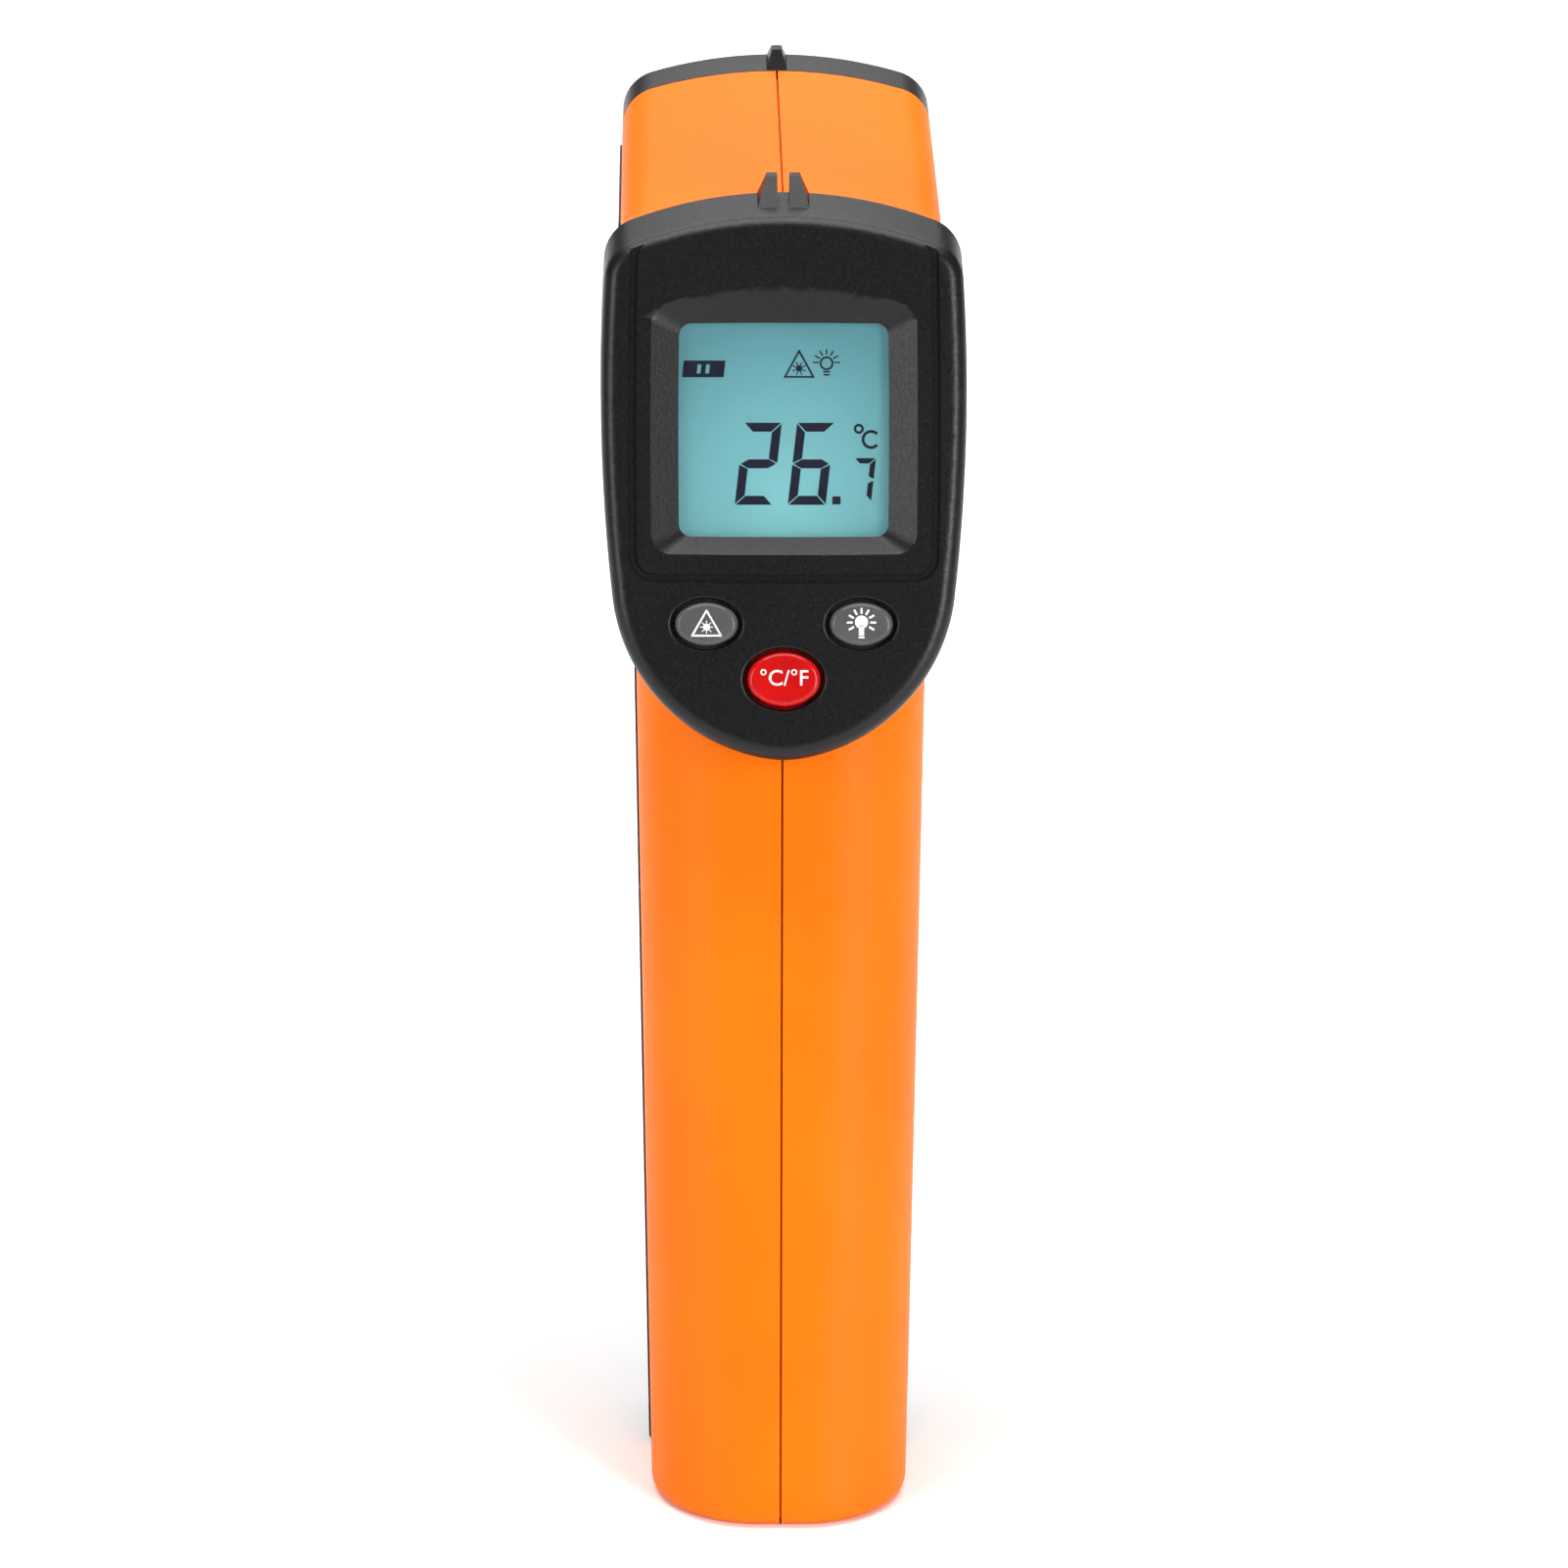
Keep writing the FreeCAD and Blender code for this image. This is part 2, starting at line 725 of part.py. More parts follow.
def both_forms(name, inset, floor):
    return fuse(name, head_form(name + "_head", inset), grip_form(name + "_grip", inset, floor))


# The halves fill the space in front of the bezel's seam and behind the nose cap's.
ahead_of_bezel = middle_block(
    "ahead_of_bezel", "display", "huge", "4 * huge", "huge", "-2 * huge", "-band * cos(tilt) - huge"
)
behind_cap = middle_block("behind_cap", "body", "huge", "huge", "huge * 2", "cap_y - huge", "-1")
limits = common("limits", ahead_of_bezel, behind_cap)


def with_round_base(name, form):
    """The form with the edge around its standing face rounded."""
    doc.recompute()
    softened = doc.addObject("Part::Fillet", name)
    softened.Base = form
    radius = read("base_round")
    edges = enumerate(form.Shape.Edges, start=1)
    softened.Edges = [(number, radius, radius) for number, edge in edges if edge.BoundBox.ZMax < 0.01]
    return softened


outer = with_round_base("outer", both_forms("outer_sharp", "0", "0"))
proud = with_round_base("proud", both_forms("proud_sharp", "-inlay_proud", "0"))
cavity = both_forms("cavity", "wall", "wall")
core = both_forms("core", "wall / 2", "wall / 2")
left_side = block(
    "left_side", "body", "huge", "2 * huge", "2 * huge", "-parting / 2 - huge", "-huge", "-huge / 2"
)
right_side = block("right_side", "body", "huge", "2 * huge", "2 * huge", "parting / 2", "-huge", "-huge / 2")

parts = []


def part(thing, label):
    """Names a finished sub-part. Its label names its file."""
    thing.Label = label
    parts.append(thing)
    return thing


# ---------------------------------------------------------------------------------------------
# Openings of the housing
# ---------------------------------------------------------------------------------------------
HINGE_Y = "(grip_y + (belt + hinge_z * sin(rake)) / cos(rake))"
SEAT_Y = "(pivot_y - trigger_back - spring_long)"  # what the trigger's spring rests on

trigger_slot = middle_block(
    "trigger_slot",
    "body",
    "trigger_wide + 2 * trigger_gap",
    "slot_front - (pivot_y - trigger_back) + 1",
    "pivot_z + 3 - slot_low",
    "pivot_y - trigger_back - 1",
    "slot_low",
)
door_mouth = middle_block("door_mouth", "grip", "huge", "huge", "huge + door_top", "belt", "-huge")
hinge_mouth = crossbar("hinge_mouth", "hinge_clear", "-huge / 2", "huge", HINGE_Y, "hinge_z")

# ---------------------------------------------------------------------------------------------
# Black side inlays: thin panels let into both sides of the head and of the upper grip
# ---------------------------------------------------------------------------------------------
inlay_prism = new_body("inlay_prism")
inlay_sketch = sketch_on(inlay_prism, "inlay_outline", "YZ_Plane")
ROUNDED_CORNERS = [
    ("inlay_back_y", "inlay_top"),
    ("inlay_knee_y", "inlay_knee_z"),
    ("inlay_hip_y", "inlay_hip_z"),
    ("inlay_under_y", "inlay_under_z"),
]
BELT_END = "(inlay_hip_z - 16)"
BELT_LINE = f"(grip_y + (belt + {BELT_END} * sin(rake)) / cos(rake))"
polygon(
    inlay_sketch,
    [
        ("cap_y", "inlay_top"),
        *ROUNDED_CORNERS[:3],
        (BELT_LINE, BELT_END),
        ("inlay_under_y", BELT_END),
        ROUNDED_CORNERS[3],
        ("cap_y", "inlay_nose_z"),
    ],
)
pad(inlay_prism, inlay_sketch, "huge", middle=True)
rounded_at = [(read(y), read(z)) for y, z in ROUNDED_CORNERS]


def is_inlay_corner(edge):
    box = edge.BoundBox
    return box.XLength > 1 and any(math.hypot(box.YMin - y, box.ZMin - z) < 0.05 for y, z in rounded_at)


round_edges(inlay_prism, "inlay_round", is_inlay_corner)
grip_front = middle_block(
    "grip_front", "grip", "huge", "huge", "inlay_hip_z - 2 - door_top", "belt", "door_top"
)
inlay_zone = fuse("inlay_zone", inlay_prism, grip_front)
inlay_skin = cut("inlay_skin", proud, both_forms("inlay_bed", "inlay_deep", "0"))
inlay_strip = common("inlay_strip", inlay_skin, inlay_zone)
inlay_pair = cut("inlay_pair", common("inlay_kept", inlay_strip, limits), trigger_slot)
part(common("left_inlay", inlay_pair, left_side), "left_side_inlay")
part(common("right_inlay", inlay_pair, right_side), "right_side_inlay")

# ---------------------------------------------------------------------------------------------
# Housing halves
# ---------------------------------------------------------------------------------------------
shell = cut(
    "shell",
    common("shell_block", outer, limits),
    cavity,
    inlay_strip,
    trigger_slot,
    door_mouth,
    hinge_mouth,
)

# The collar that plugs into the bezel follows the bezel's own outline.
ALONG = ("sin(tilt)", "-cos(tilt)")  # the barrel's direction in the display frame


def along_barrel(feature):
    """Lets a pad or pocket run along the barrel and not square to its sketch."""
    feature.UseCustomVector = True
    feature.AlongSketchNormal = False
    feature.Direction = Vector(0, read(ALONG[0]), read(ALONG[1]))
    bind(feature, "Direction.y", ALONG[0])
    bind(feature, "Direction.z", ALONG[1])
    return feature


def sketch_behind(body, name, run):
    """A sketch parallel to the face, a run along the barrel behind it."""
    return sketch_on(body, name, "XY_Plane", f"-({run}) * cos(tilt)", f"({run}) * sin(tilt)")


collar = new_body("collar_ring", "display")
collar_sketch = sketch_behind(collar, "collar_outline", "band - collar_tongue")
outline(collar_sketch, FACE, "bezel_wall + fit")
outline(collar_sketch, FACE, "bezel_wall + fit + collar_tongue_thick")
along_barrel(pad(collar, collar_sketch, "2 * collar_tongue"))

HOUSING_SCREWS = ("heel", "grip", "neck", "chin")
bosses = []
boss_bores = []
screws = []
for name in HOUSING_SCREWS:
    y = name + "_screw_y"
    z = name + "_screw_z"
    bosses.append(crossbar(name + "_boss", "boss_radius", "-huge / 2", "huge", y, z))
    boss_bores.append(crossbar(name + "_bore", "screw_radius", "-screw_long / 2", "huge", y, z))
    boss_bores.append(crossbar(name + "_counterbore", "screw_head + fit", "screw_seat", "huge", y, z))
    shank_start = "screw_seat - screw_long + running"
    shank = crossbar(name + "_shank", "screw_radius - running", shank_start, "screw_long", y, z)
    head = crossbar(name + "_head", "screw_head", "screw_seat + running", "screw_head_thick", y, z)
    screws.append(fuse(name + "_screw", shank, head))

pivot_boss = crossbar("pivot_boss_rod", "pivot_boss", "-huge / 2", "huge", "pivot_y", "pivot_z")
pivot_gap = middle_block(
    "pivot_gap",
    "body",
    "trigger_wide + 2 * trigger_gap",
    "3 * trigger_hub",
    "3 * trigger_hub",
    "pivot_y - 1.5 * trigger_hub",
    "pivot_z - 1.5 * trigger_hub",
)
pivot_bore = crossbar("pivot_bore", "pin_radius", "-pin_half", "2 * pin_half", "pivot_y", "pivot_z")


def rib(name, deep, tall, y, z):
    """A plate across the whole housing."""
    return middle_block(name, "body", "huge", deep, tall, y, z)


BARREL_RIB = ("rib_thick", "barrel_rib_tall")
RIB_Z = "optic_z - barrel_rib_drop"
barrel_ribs = [
    rib("rear_barrel_rib", *BARREL_RIB, "nose_y - aperture_deep - barrel_length + 3", RIB_Z),
    rib("front_barrel_rib", *BARREL_RIB, "nose_y - aperture_deep - 7", RIB_Z),
]
LASER_RIB_Y = "nose_y - aperture_deep - laser_long / 2"
laser_rib = rib("laser_rib", "rib_thick", "laser_rib_tall", LASER_RIB_Y, "laser_z - laser_rib_drop")
SEAT_TALL = "switch_z - trigger_board_tall / 2 - spring_z + seat_half"
spring_seat = rib("spring_seat", "seat_thick", SEAT_TALL, f"{SEAT_Y} - seat_thick", "spring_z - seat_half")
SHELF_Z = "switch_z + trigger_board_tall / 2 + stack_gap"
board_shelf = rib("board_shelf", "shelf_deep", "shelf_thick", f"{SEAT_Y} - seat_thick", SHELF_Z)
bearing_bores = [
    rod("barrel_bore", "barrel", "barrel_radius + stack_gap", "huge", "0", "0", "-huge / 2"),
    rod("laser_bore", "barrel", "laser_radius + stack_gap", "huge", "0", "optic_z - laser_z", "0"),
]

# Lugs that hold the door's hinge pin, two on each half's floor
lug_pieces = []
for side, start in (("left", "-lug_out"), ("right", "lug_in")):
    span = "lug_out - lug_in"
    lug_pieces.append(crossbar(side + "_lug_eye", "lug_radius", start, span, HINGE_Y, "hinge_z"))
    lug_pieces.append(
        block(
            side + "_lug_arm",
            "body",
            span,
            "lug_run",
            "lug_under + lug_radius",
            start,
            f"{HINGE_Y} - lug_run",
            "hinge_z - lug_under",
        )
    )
lugs = common("lugs", fuse("lug_blocks", *lug_pieces), outer)
hinge_bore = crossbar("hinge_bore", "hinge_pin", "-lug_out", "2 * lug_out", HINGE_Y, "hinge_z")

ribs = cut("ribs", fuse("rib_plates", *barrel_ribs, laser_rib), *bearing_bores)
pivot_bosses = cut("pivot_bosses", pivot_boss, pivot_gap)
fitting_blocks = fuse("fitting_blocks", *bosses, pivot_bosses, ribs, spring_seat, board_shelf)
fittings = common("fittings", fitting_blocks, core)

# A tongue on the right half closes the parting line from inside.
tongue_zone = block(
    "tongue_zone", "body", "tongue_deep + 1.5", "2 * huge", "2 * huge", "-tongue_deep", "-huge", "-huge / 2"
)
groove_zone = block(
    "groove_zone", "body", "tongue_deep + fit + 1", "2 * huge", "2 * huge",
    "-tongue_deep - fit", "-huge", "-huge / 2",
)
tongue_ring = cut(
    "tongue_ring",
    both_forms("tongue_form", "wall - tongue_thick", "wall - tongue_thick"),
    cavity,
    trigger_slot,
    door_mouth,
    hinge_mouth,
)
tongue_limits = common("tongue_ring_kept", tongue_ring, limits)
tongue = common("tongue", tongue_limits, tongue_zone)
GROOVE_IN = "wall - tongue_thick - fit"
groove_ring = cut("groove_ring", both_forms("groove_form", GROOVE_IN, GROOVE_IN), cavity)
groove = common("groove", groove_ring, groove_zone)

inside = fuse("inside", fittings, lugs, collar)
bores = fuse("bores", *boss_bores, pivot_bore, hinge_bore)
left_shell = common("left_shell", shell, left_side)
left_inside = common("left_inside", inside, left_side)
left_solid = fuse("left_solid", left_shell, left_inside)
right_shell = common("right_shell", shell, right_side)
right_inside = common("right_inside", inside, right_side)
right_solid = fuse("right_solid", right_shell, right_inside, tongue)
part(cut("left_half", left_solid, bores, groove), "left_housing")
part(cut("right_half", right_solid, bores), "right_housing")
part(group("housing_screw_set", *screws), "housing_screws")

# ---------------------------------------------------------------------------------------------
# Nose cap with the front sight, the lens mouth and the laser mouth
# ---------------------------------------------------------------------------------------------
APERTURE_END = "(nose_y - aperture_deep)"
LASER_DROP = "(optic_z - laser_z)"

ahead_of_seam = middle_block("ahead_of_seam", "body", "huge", "huge", "2 * huge", "cap_y + seam", "-1")
cap_block = common("cap_block", head_form("cap_form", "0"), ahead_of_seam)
doc.recompute()
cap_round = doc.addObject("Part::Fillet", "cap_round")
cap_round.Base = cap_block
cap_radius = read("cap_edge")
cap_round.Edges = [
    (number, cap_radius, cap_radius)
    for number, edge in enumerate(cap_block.Shape.Edges, start=1)
    if edge.BoundBox.YMin > read("nose_y") - 0.01
]
CAP_BACK = "(cap_y + seam)"
ROOM_DEEP = f"nose_y - cap_face - {CAP_BACK} - plug_long"
ROOM_Y = f"{CAP_BACK} + plug_long"
cap_room = middle_block("cap_room", "body", "huge", ROOM_DEEP, "2 * huge", ROOM_Y, "-1")
PLUG_Y = f"{CAP_BACK} - plug_long"
plug_span = middle_block("plug_span", "body", "huge", "2 * plug_long", "2 * huge", PLUG_Y, "-1")
plug_inside = head_form("plug_inside", "wall + fit + plug_thick")
cap_hollow = common("cap_hollow", head_form("cap_inside", "wall"), cap_room)
plug_block = common("plug_block", head_form("plug_outside", "wall + fit"), plug_span)
mouth_tube = taper(
    "mouth_tube",
    "barrel",
    "aperture_back + tube_wall",
    "aperture_front + tube_wall",
    "aperture_deep - cap_edge / 2",
    "0",
    "0",
    APERTURE_END,
)
mouth = taper("mouth", "barrel", "aperture_back", "aperture_front", "aperture_deep", "0", "0", APERTURE_END)
laser_tube = rod(
    "laser_tube",
    "barrel",
    "laser_window + tube_wall",
    "aperture_deep - cap_edge / 2",
    "0",
    LASER_DROP,
    APERTURE_END,
)
MOUTH_START = f"{APERTURE_END} - 0.5"
laser_mouth = rod("laser_mouth", "barrel", "laser_window", "aperture_deep + 1", "0", LASER_DROP, MOUTH_START)
FLARE = ("laser_window", "laser_window + 1", "1")
laser_flare = taper("laser_flare", "barrel", *FLARE, "0", LASER_DROP, "nose_y - 1")


def ridge(name, low_x, high_x, low_tip, high_tip, run, flat, front, high, y, z):
    """A sighting ridge: its foot is run long, its top is flat long, and it slopes up from behind."""
    wedge = doc.addObject("Part::Wedge", name)
    wedge.Placement = Placement(Vector(0, 0, 0), Rotation(Vector(1, 0, 0), 90))
    sides = {"Xmin": low_x, "Xmax": high_x, "X2min": low_tip, "X2max": high_tip}
    ends = {"Ymin": "0", "Ymax": high, "Zmin": "0", "Zmax": run, "Z2min": front, "Z2max": f"{front} + {flat}"}
    for side, text in {**sides, **ends}.items():
        bind(wedge, side, text)
    bind(wedge, "Placement.Base.y", y)
    bind(wedge, "Placement.Base.z", z)
    return wedge


NUB_TOP = "(nose_z + nose_top)"
nub = ridge(
    "nub",
    "-nub_base / 2",
    "nub_base / 2",
    "-nub_tip / 2",
    "nub_tip / 2",
    "nub_run",
    "nub_flat",
    "nub_run - nub_flat - nub_slope",
    "nub_high + sink",
    "cap_y + seam + nub_run",
    f"{NUB_TOP} - sink",
)
cap_solid = fuse(
    "cap_solid",
    cut("cap_shell", cap_round, cap_hollow, plug_span),
    cut("plug", fuse("plug_solid", plug_block, common("plug_step", cap_round, plug_span)), plug_inside),
    mouth_tube,
    laser_tube,
    nub,
)
part(cut("cap", cap_solid, mouth, laser_mouth, laser_flare), "nose_cap")

# ---------------------------------------------------------------------------------------------
# Optics: lens, retaining ring, barrel, thermopile and its board, laser module
# ---------------------------------------------------------------------------------------------
RING_START = f"({APERTURE_END} - running - lens_ring_thick)"
LENS_START = f"({RING_START} - lens_thick)"
BARREL_START = f"({RING_START} - barrel_length + lens_ring_thick)"
LENS_SEAT = "(lens_radius + running)"
lens_ring = cut(
    "lens_retainer",
    rod("lens_ring_blank", "barrel", LENS_SEAT, "lens_ring_thick", "0", "0", RING_START),
    rod("lens_ring_hole", "barrel", f"{LENS_SEAT} - lens_ring_wide", "huge", "0", "0", "0"),
)
part(lens_ring, "lens_ring")

# The Fresnel lens is a moulded disc with a slightly domed front.
lens_dome = doc.addObject("Part::Sphere", "lens_dome")
bind(lens_dome, "Radius", "lens_dome")
stand(lens_dome, "barrel", "0", "0", f"{LENS_START} + lens_thick - lens_dome")
lens_disc = rod("lens_disc", "barrel", "lens_radius", "lens_thick", "0", "0", LENS_START)
part(common("lens", lens_disc, lens_dome), "sensor_lens")

sensor_barrel = cut(
    "barrel_tube",
    rod("barrel_blank", "barrel", "barrel_radius", "barrel_length", "0", "0", BARREL_START),
    rod("barrel_throat", "barrel", f"{LENS_SEAT} - lens_ring_wide", "huge", "0", "0", "0"),
    rod("barrel_seat", "barrel", LENS_SEAT, "huge", "0", "0", LENS_START),
)
part(sensor_barrel, "sensor_barrel")

CAN_START = f"({BARREL_START} + stack_gap)"
can_flange = rod("can_flange", "barrel", "can_radius + 0.5", "0.5", "0", "0", CAN_START)
can_shell = rod("can_shell", "barrel", "can_radius", "can_long", "0", "0", CAN_START)
can_hole = rod("can_hole", "barrel", "can_window", "1", "0", "0", f"{CAN_START} + can_long - 0.3")
part(cut("can", fuse("can_body", can_flange, can_shell), can_hole), "thermopile_can")
part(
    middle_block(
        "optic_board",
        "barrel",
        "optic_board_wide",
        "optic_board_tall",
        "optic_board_thick",
        "-optic_board_tall / 2",
        f"{BARREL_START} - optic_board_thick",
    ),
    "sensor_board",
)

LASER_START = f"({APERTURE_END} - running - laser_long)"
GLASS_START = f"({LASER_START} + laser_long - laser_lip - laser_glass)"
laser_blank = rod("laser_blank", "barrel", "laser_radius", "laser_long", "0", LASER_DROP, LASER_START)
laser_front = rod("laser_front", "barrel", "laser_window + running", "3", "0", LASER_DROP, GLASS_START)
part(cut("laser_case", laser_blank, laser_front), "laser_module")
part(rod("laser_pane", "barrel", "laser_window", "laser_glass", "0", LASER_DROP, GLASS_START), "laser_lens")

# ---------------------------------------------------------------------------------------------
# Rear bezel with the two rear sights
# ---------------------------------------------------------------------------------------------
WINDOW_BACK = "(plate + window_thick)"
LCD_BACK = f"({WINDOW_BACK} + stack_gap + lcd_thick)"
BOARD_FRONT = f"({LCD_BACK} + stack_gap + light_thick)"
BOARD_BACK = f"({BOARD_FRONT} + board_thick)"
KEYS = {
    "laser_key": ("-pair_x", "-pair_low", "pair_wide", "pair_tall", "pair_end"),
    "light_key": ("pair_x", "-pair_low", "pair_wide", "pair_tall", "pair_end"),
    "unit_key": ("0", "-unit_low", "unit_wide", "unit_tall", "unit_end"),
}
BOARD_SCREWS = [
    ("0", "board_top_screw"),
    ("-board_side_screw", "-board_low_screw"),
    ("board_side_screw", "-board_low_screw"),
]
RECESS = {
    "half": "recess_half",
    "top": "recess_top",
    "low": "recess_low",
    "crown": "recess_arch",
    "corner": "recess_corner",
    "side": "straight",
    "mid": "0",
    "lower": "recess_corner",
    "bottom": "straight",
}
OPENING = {
    **RECESS,
    "half": "opening_half",
    "top": "opening_top",
    "low": "opening_low",
    "crown": "straight",
    "corner": "opening_corner",
    "lower": "opening_corner",
}
GROOVE = {
    **RECESS,
    "half": "groove_half",
    "top": "groove_top",
    "low": "groove_low",
    "crown": "recess_arch + 3",
    "corner": "groove_corner",
    "lower": "groove_corner",
}

bezel = new_body("bezel_shell", "display")
face_sketch = sketch_on(bezel, "bezel_outline", "XY_Plane")
outline(face_sketch, FACE)
along_barrel(pad(bezel, face_sketch, "band - seam"))
round_edges(bezel, "face_round", lambda e: abs(e.BoundBox.ZMin) < 0.01 and abs(e.BoundBox.ZMax) < 0.01)
inside_sketch = sketch_behind(bezel, "bezel_inside", "plate / cos(tilt)")
outline(inside_sketch, FACE, "bezel_wall")
along_barrel(pocket(bezel, inside_sketch, "band"))
frame_sketch = sketch_on(bezel, "window_frame", "XY_Plane", "-plate + 0.1")
frame_half = "opening_half + frame_margin"
rounded(frame_sketch, frame_half, "-opening_low - frame_margin", "opening_top + frame_margin", "1", "1")
pad(bezel, frame_sketch, f"{LCD_BACK} - plate", reverse=True)
for number, (x, y) in enumerate(BOARD_SCREWS):
    post = sketch_on(bezel, f"board_post_{number}", "XY_Plane", "-plate + 0.1")
    circle(post, "board_boss_radius", x, y)
    pad(bezel, post, f"{BOARD_FRONT} - plate + 0.1", reverse=True)
recess_sketch = sketch_on(bezel, "recess_edge", "XY_Plane")
outline(recess_sketch, RECESS)
recess_floor = sketch_on(bezel, "recess_floor", "XY_Plane", "-recess_deep")
outline(recess_floor, OPENING)
loft(bezel, [recess_sketch, recess_floor], cutting=True)
opening_sketch = sketch_on(bezel, "window_opening", "XY_Plane", "-recess_deep + 0.1")
outline(opening_sketch, OPENING)
pocket(bezel, opening_sketch, "plate")
seat_sketch = sketch_on(bezel, "window_seat", "XY_Plane", "-plate")
rounded(
    seat_sketch,
    "opening_half + window_margin",
    "-opening_low - window_margin",
    "opening_top + window_margin",
    "seat_corner",
    "seat_corner",
)
pocket(bezel, seat_sketch, LCD_BACK)
lcd_sketch = sketch_on(bezel, "lcd_seat", "XY_Plane", f"-{WINDOW_BACK}")
rounded(
    lcd_sketch,
    "opening_half + lcd_margin",
    "-opening_low - lcd_margin",
    "opening_top + lcd_margin",
    "seat_corner",
    "seat_corner",
)
pocket(bezel, lcd_sketch, LCD_BACK)
groove_sketch = sketch_on(bezel, "face_groove", "XY_Plane")
outline(groove_sketch, GROOVE)
outline(groove_sketch, GROOVE, "groove_wide")
pocket(bezel, groove_sketch, "groove_deep")
for name, (x, y, wide, tall, end) in KEYS.items():
    throat = sketch_on(bezel, name + "_throat", "XY_Plane")
    oval(throat, f"{wide} + 2 * key_gap", f"{tall} + 2 * key_gap", f"{end} + key_gap", x, y)
    pocket(bezel, throat, "plate + 0.5")
for number, (x, y) in enumerate(BOARD_SCREWS):
    pilot = sketch_on(bezel, f"board_pilot_{number}", "XY_Plane", f"-{BOARD_FRONT}")
    circle(pilot, "board_screw_radius", x, y)
    pocket(bezel, pilot, f"{BOARD_FRONT} - plate - 0.6", reverse=True)


def is_key_rim(edge):
    box = edge.BoundBox
    flat = abs(box.ZMin) < 0.01 and abs(box.ZMax) < 0.01
    return flat and box.YMax < -read("groove_low") and box.XLength < read("unit_wide") + 1


round_edges(bezel, "key_rim", is_key_rim)

FIN_Y = "(face_y + face_top * sin(tilt) + band - seam)"
FIN_Z = "(face_z + face_top * cos(tilt) - sink)"
fins = []
for side, near, base_end, tip_end in (
    ("left", "-fin_gap / 2", "-fin_gap / 2 - fin_base", "-fin_gap / 2 - fin_tip"),
    ("right", "fin_gap / 2", "fin_gap / 2 + fin_base", "fin_gap / 2 + fin_tip"),
):
    low_x, high_x = (base_end, near) if side == "left" else (near, base_end)
    low_tip, high_tip = (tip_end, near) if side == "left" else (near, tip_end)
    across = (low_x, high_x, low_tip, high_tip)
    fins.append(ridge(side + "_fin", *across, "fin_run", "fin_flat", "0", "fin_high + sink", FIN_Y, FIN_Z))
part(fuse("bezel", bezel, *fins), "rear_bezel")

# ---------------------------------------------------------------------------------------------
# Display stack: window, liquid crystal cell, backlight, contact strip
# ---------------------------------------------------------------------------------------------


def display_plate(name, margin, thick, back, low_cut="0"):
    """A plate behind the window opening, larger than it by the margin."""
    return middle_block(
        name,
        "display",
        f"2 * (opening_half + {margin} - running)",
        f"opening_low + opening_top + 2 * ({margin} - running) - {low_cut}",
        thick,
        f"-(opening_low + {margin} - running - {low_cut})",
        f"-{back}",
    )


part(display_plate("window", "window_margin", "window_thick", WINDOW_BACK), "display_window")
part(display_plate("lcd", "lcd_margin", "lcd_thick", LCD_BACK), "lcd_panel")
LIGHT_CUT = "(zebra_tall + 2 * running)"
LIGHT_BACK = f"({LCD_BACK} + stack_gap / 2 + light_thick)"
part(display_plate("light", "lcd_margin", "light_thick", LIGHT_BACK, LIGHT_CUT), "backlight_panel")
part(
    middle_block(
        "zebra",
        "display",
        "zebra_wide",
        "zebra_tall",
        "light_thick + stack_gap",
        "-(opening_low + lcd_margin - running)",
        f"-{BOARD_FRONT}",
    ),
    "zebra_strip",
)

# ---------------------------------------------------------------------------------------------
# Main board with its parts and screws
# ---------------------------------------------------------------------------------------------
board = new_body("board", "display")
board_sketch = sketch_on(board, "board_outline", "XY_Plane", f"-{BOARD_FRONT}", f"{BOARD_BACK} * tan(tilt)")
outline(board_sketch, FACE, "board_inset")
pad(board, board_sketch, "board_thick", reverse=True)
for number, (x, y) in enumerate(BOARD_SCREWS):
    hole = sketch_on(board, f"board_hole_{number}", "XY_Plane", f"-{BOARD_FRONT} + 0.1")
    circle(hole, "board_screw_radius + fit", x, y)
    pocket(board, hole, "board_thick + 0.5")
part(board, "main_board")

CHIPS = {
    # name: width, depth, height, x, y on the back of the board
    "processor": ("10", "10", "1.5", "-4", "-7.6"),
    "amplifier": ("5", "4", "1.4", "-13.5", "-4"),
    "memory": ("5", "4", "1.4", "9.5", "-14.5"),
    "crystal": ("8", "3", "2.6", "4.5", "12"),
    "inductor": ("4.5", "4.5", "2.2", "10.5", "2"),
}
chips = []
for name, (wide, deep, tall, x, y) in CHIPS.items():
    chips.append(block(name, "display", wide, deep, tall, x, y, f"-{BOARD_BACK} - {tall}"))
part(group("chips", *chips), "board_chips")
BUZZER_END = f"-{BOARD_BACK} - buzzer_high"
buzzer = rod("buzzer_can", "display", "buzzer_radius", "buzzer_high", "buzzer_x", "buzzer_y", BUZZER_END)
part(buzzer, "buzzer")
board_screws = []
for number, (x, y) in enumerate(BOARD_SCREWS):
    head_start = f"-{BOARD_BACK} - board_screw_head_thick"
    head_size = ("board_screw_head", "board_screw_head_thick")
    head = rod(f"board_head_{number}", "display", *head_size, x, y, head_start)
    shank_radius = "board_screw_radius - running"
    shank = rod(f"board_shank_{number}", "display", shank_radius, "board_screw_long", x, y, f"-{BOARD_BACK}")
    board_screws.append(fuse(f"board_screw_{number}", head, shank))
part(group("board_screw_set", *board_screws), "board_screws")

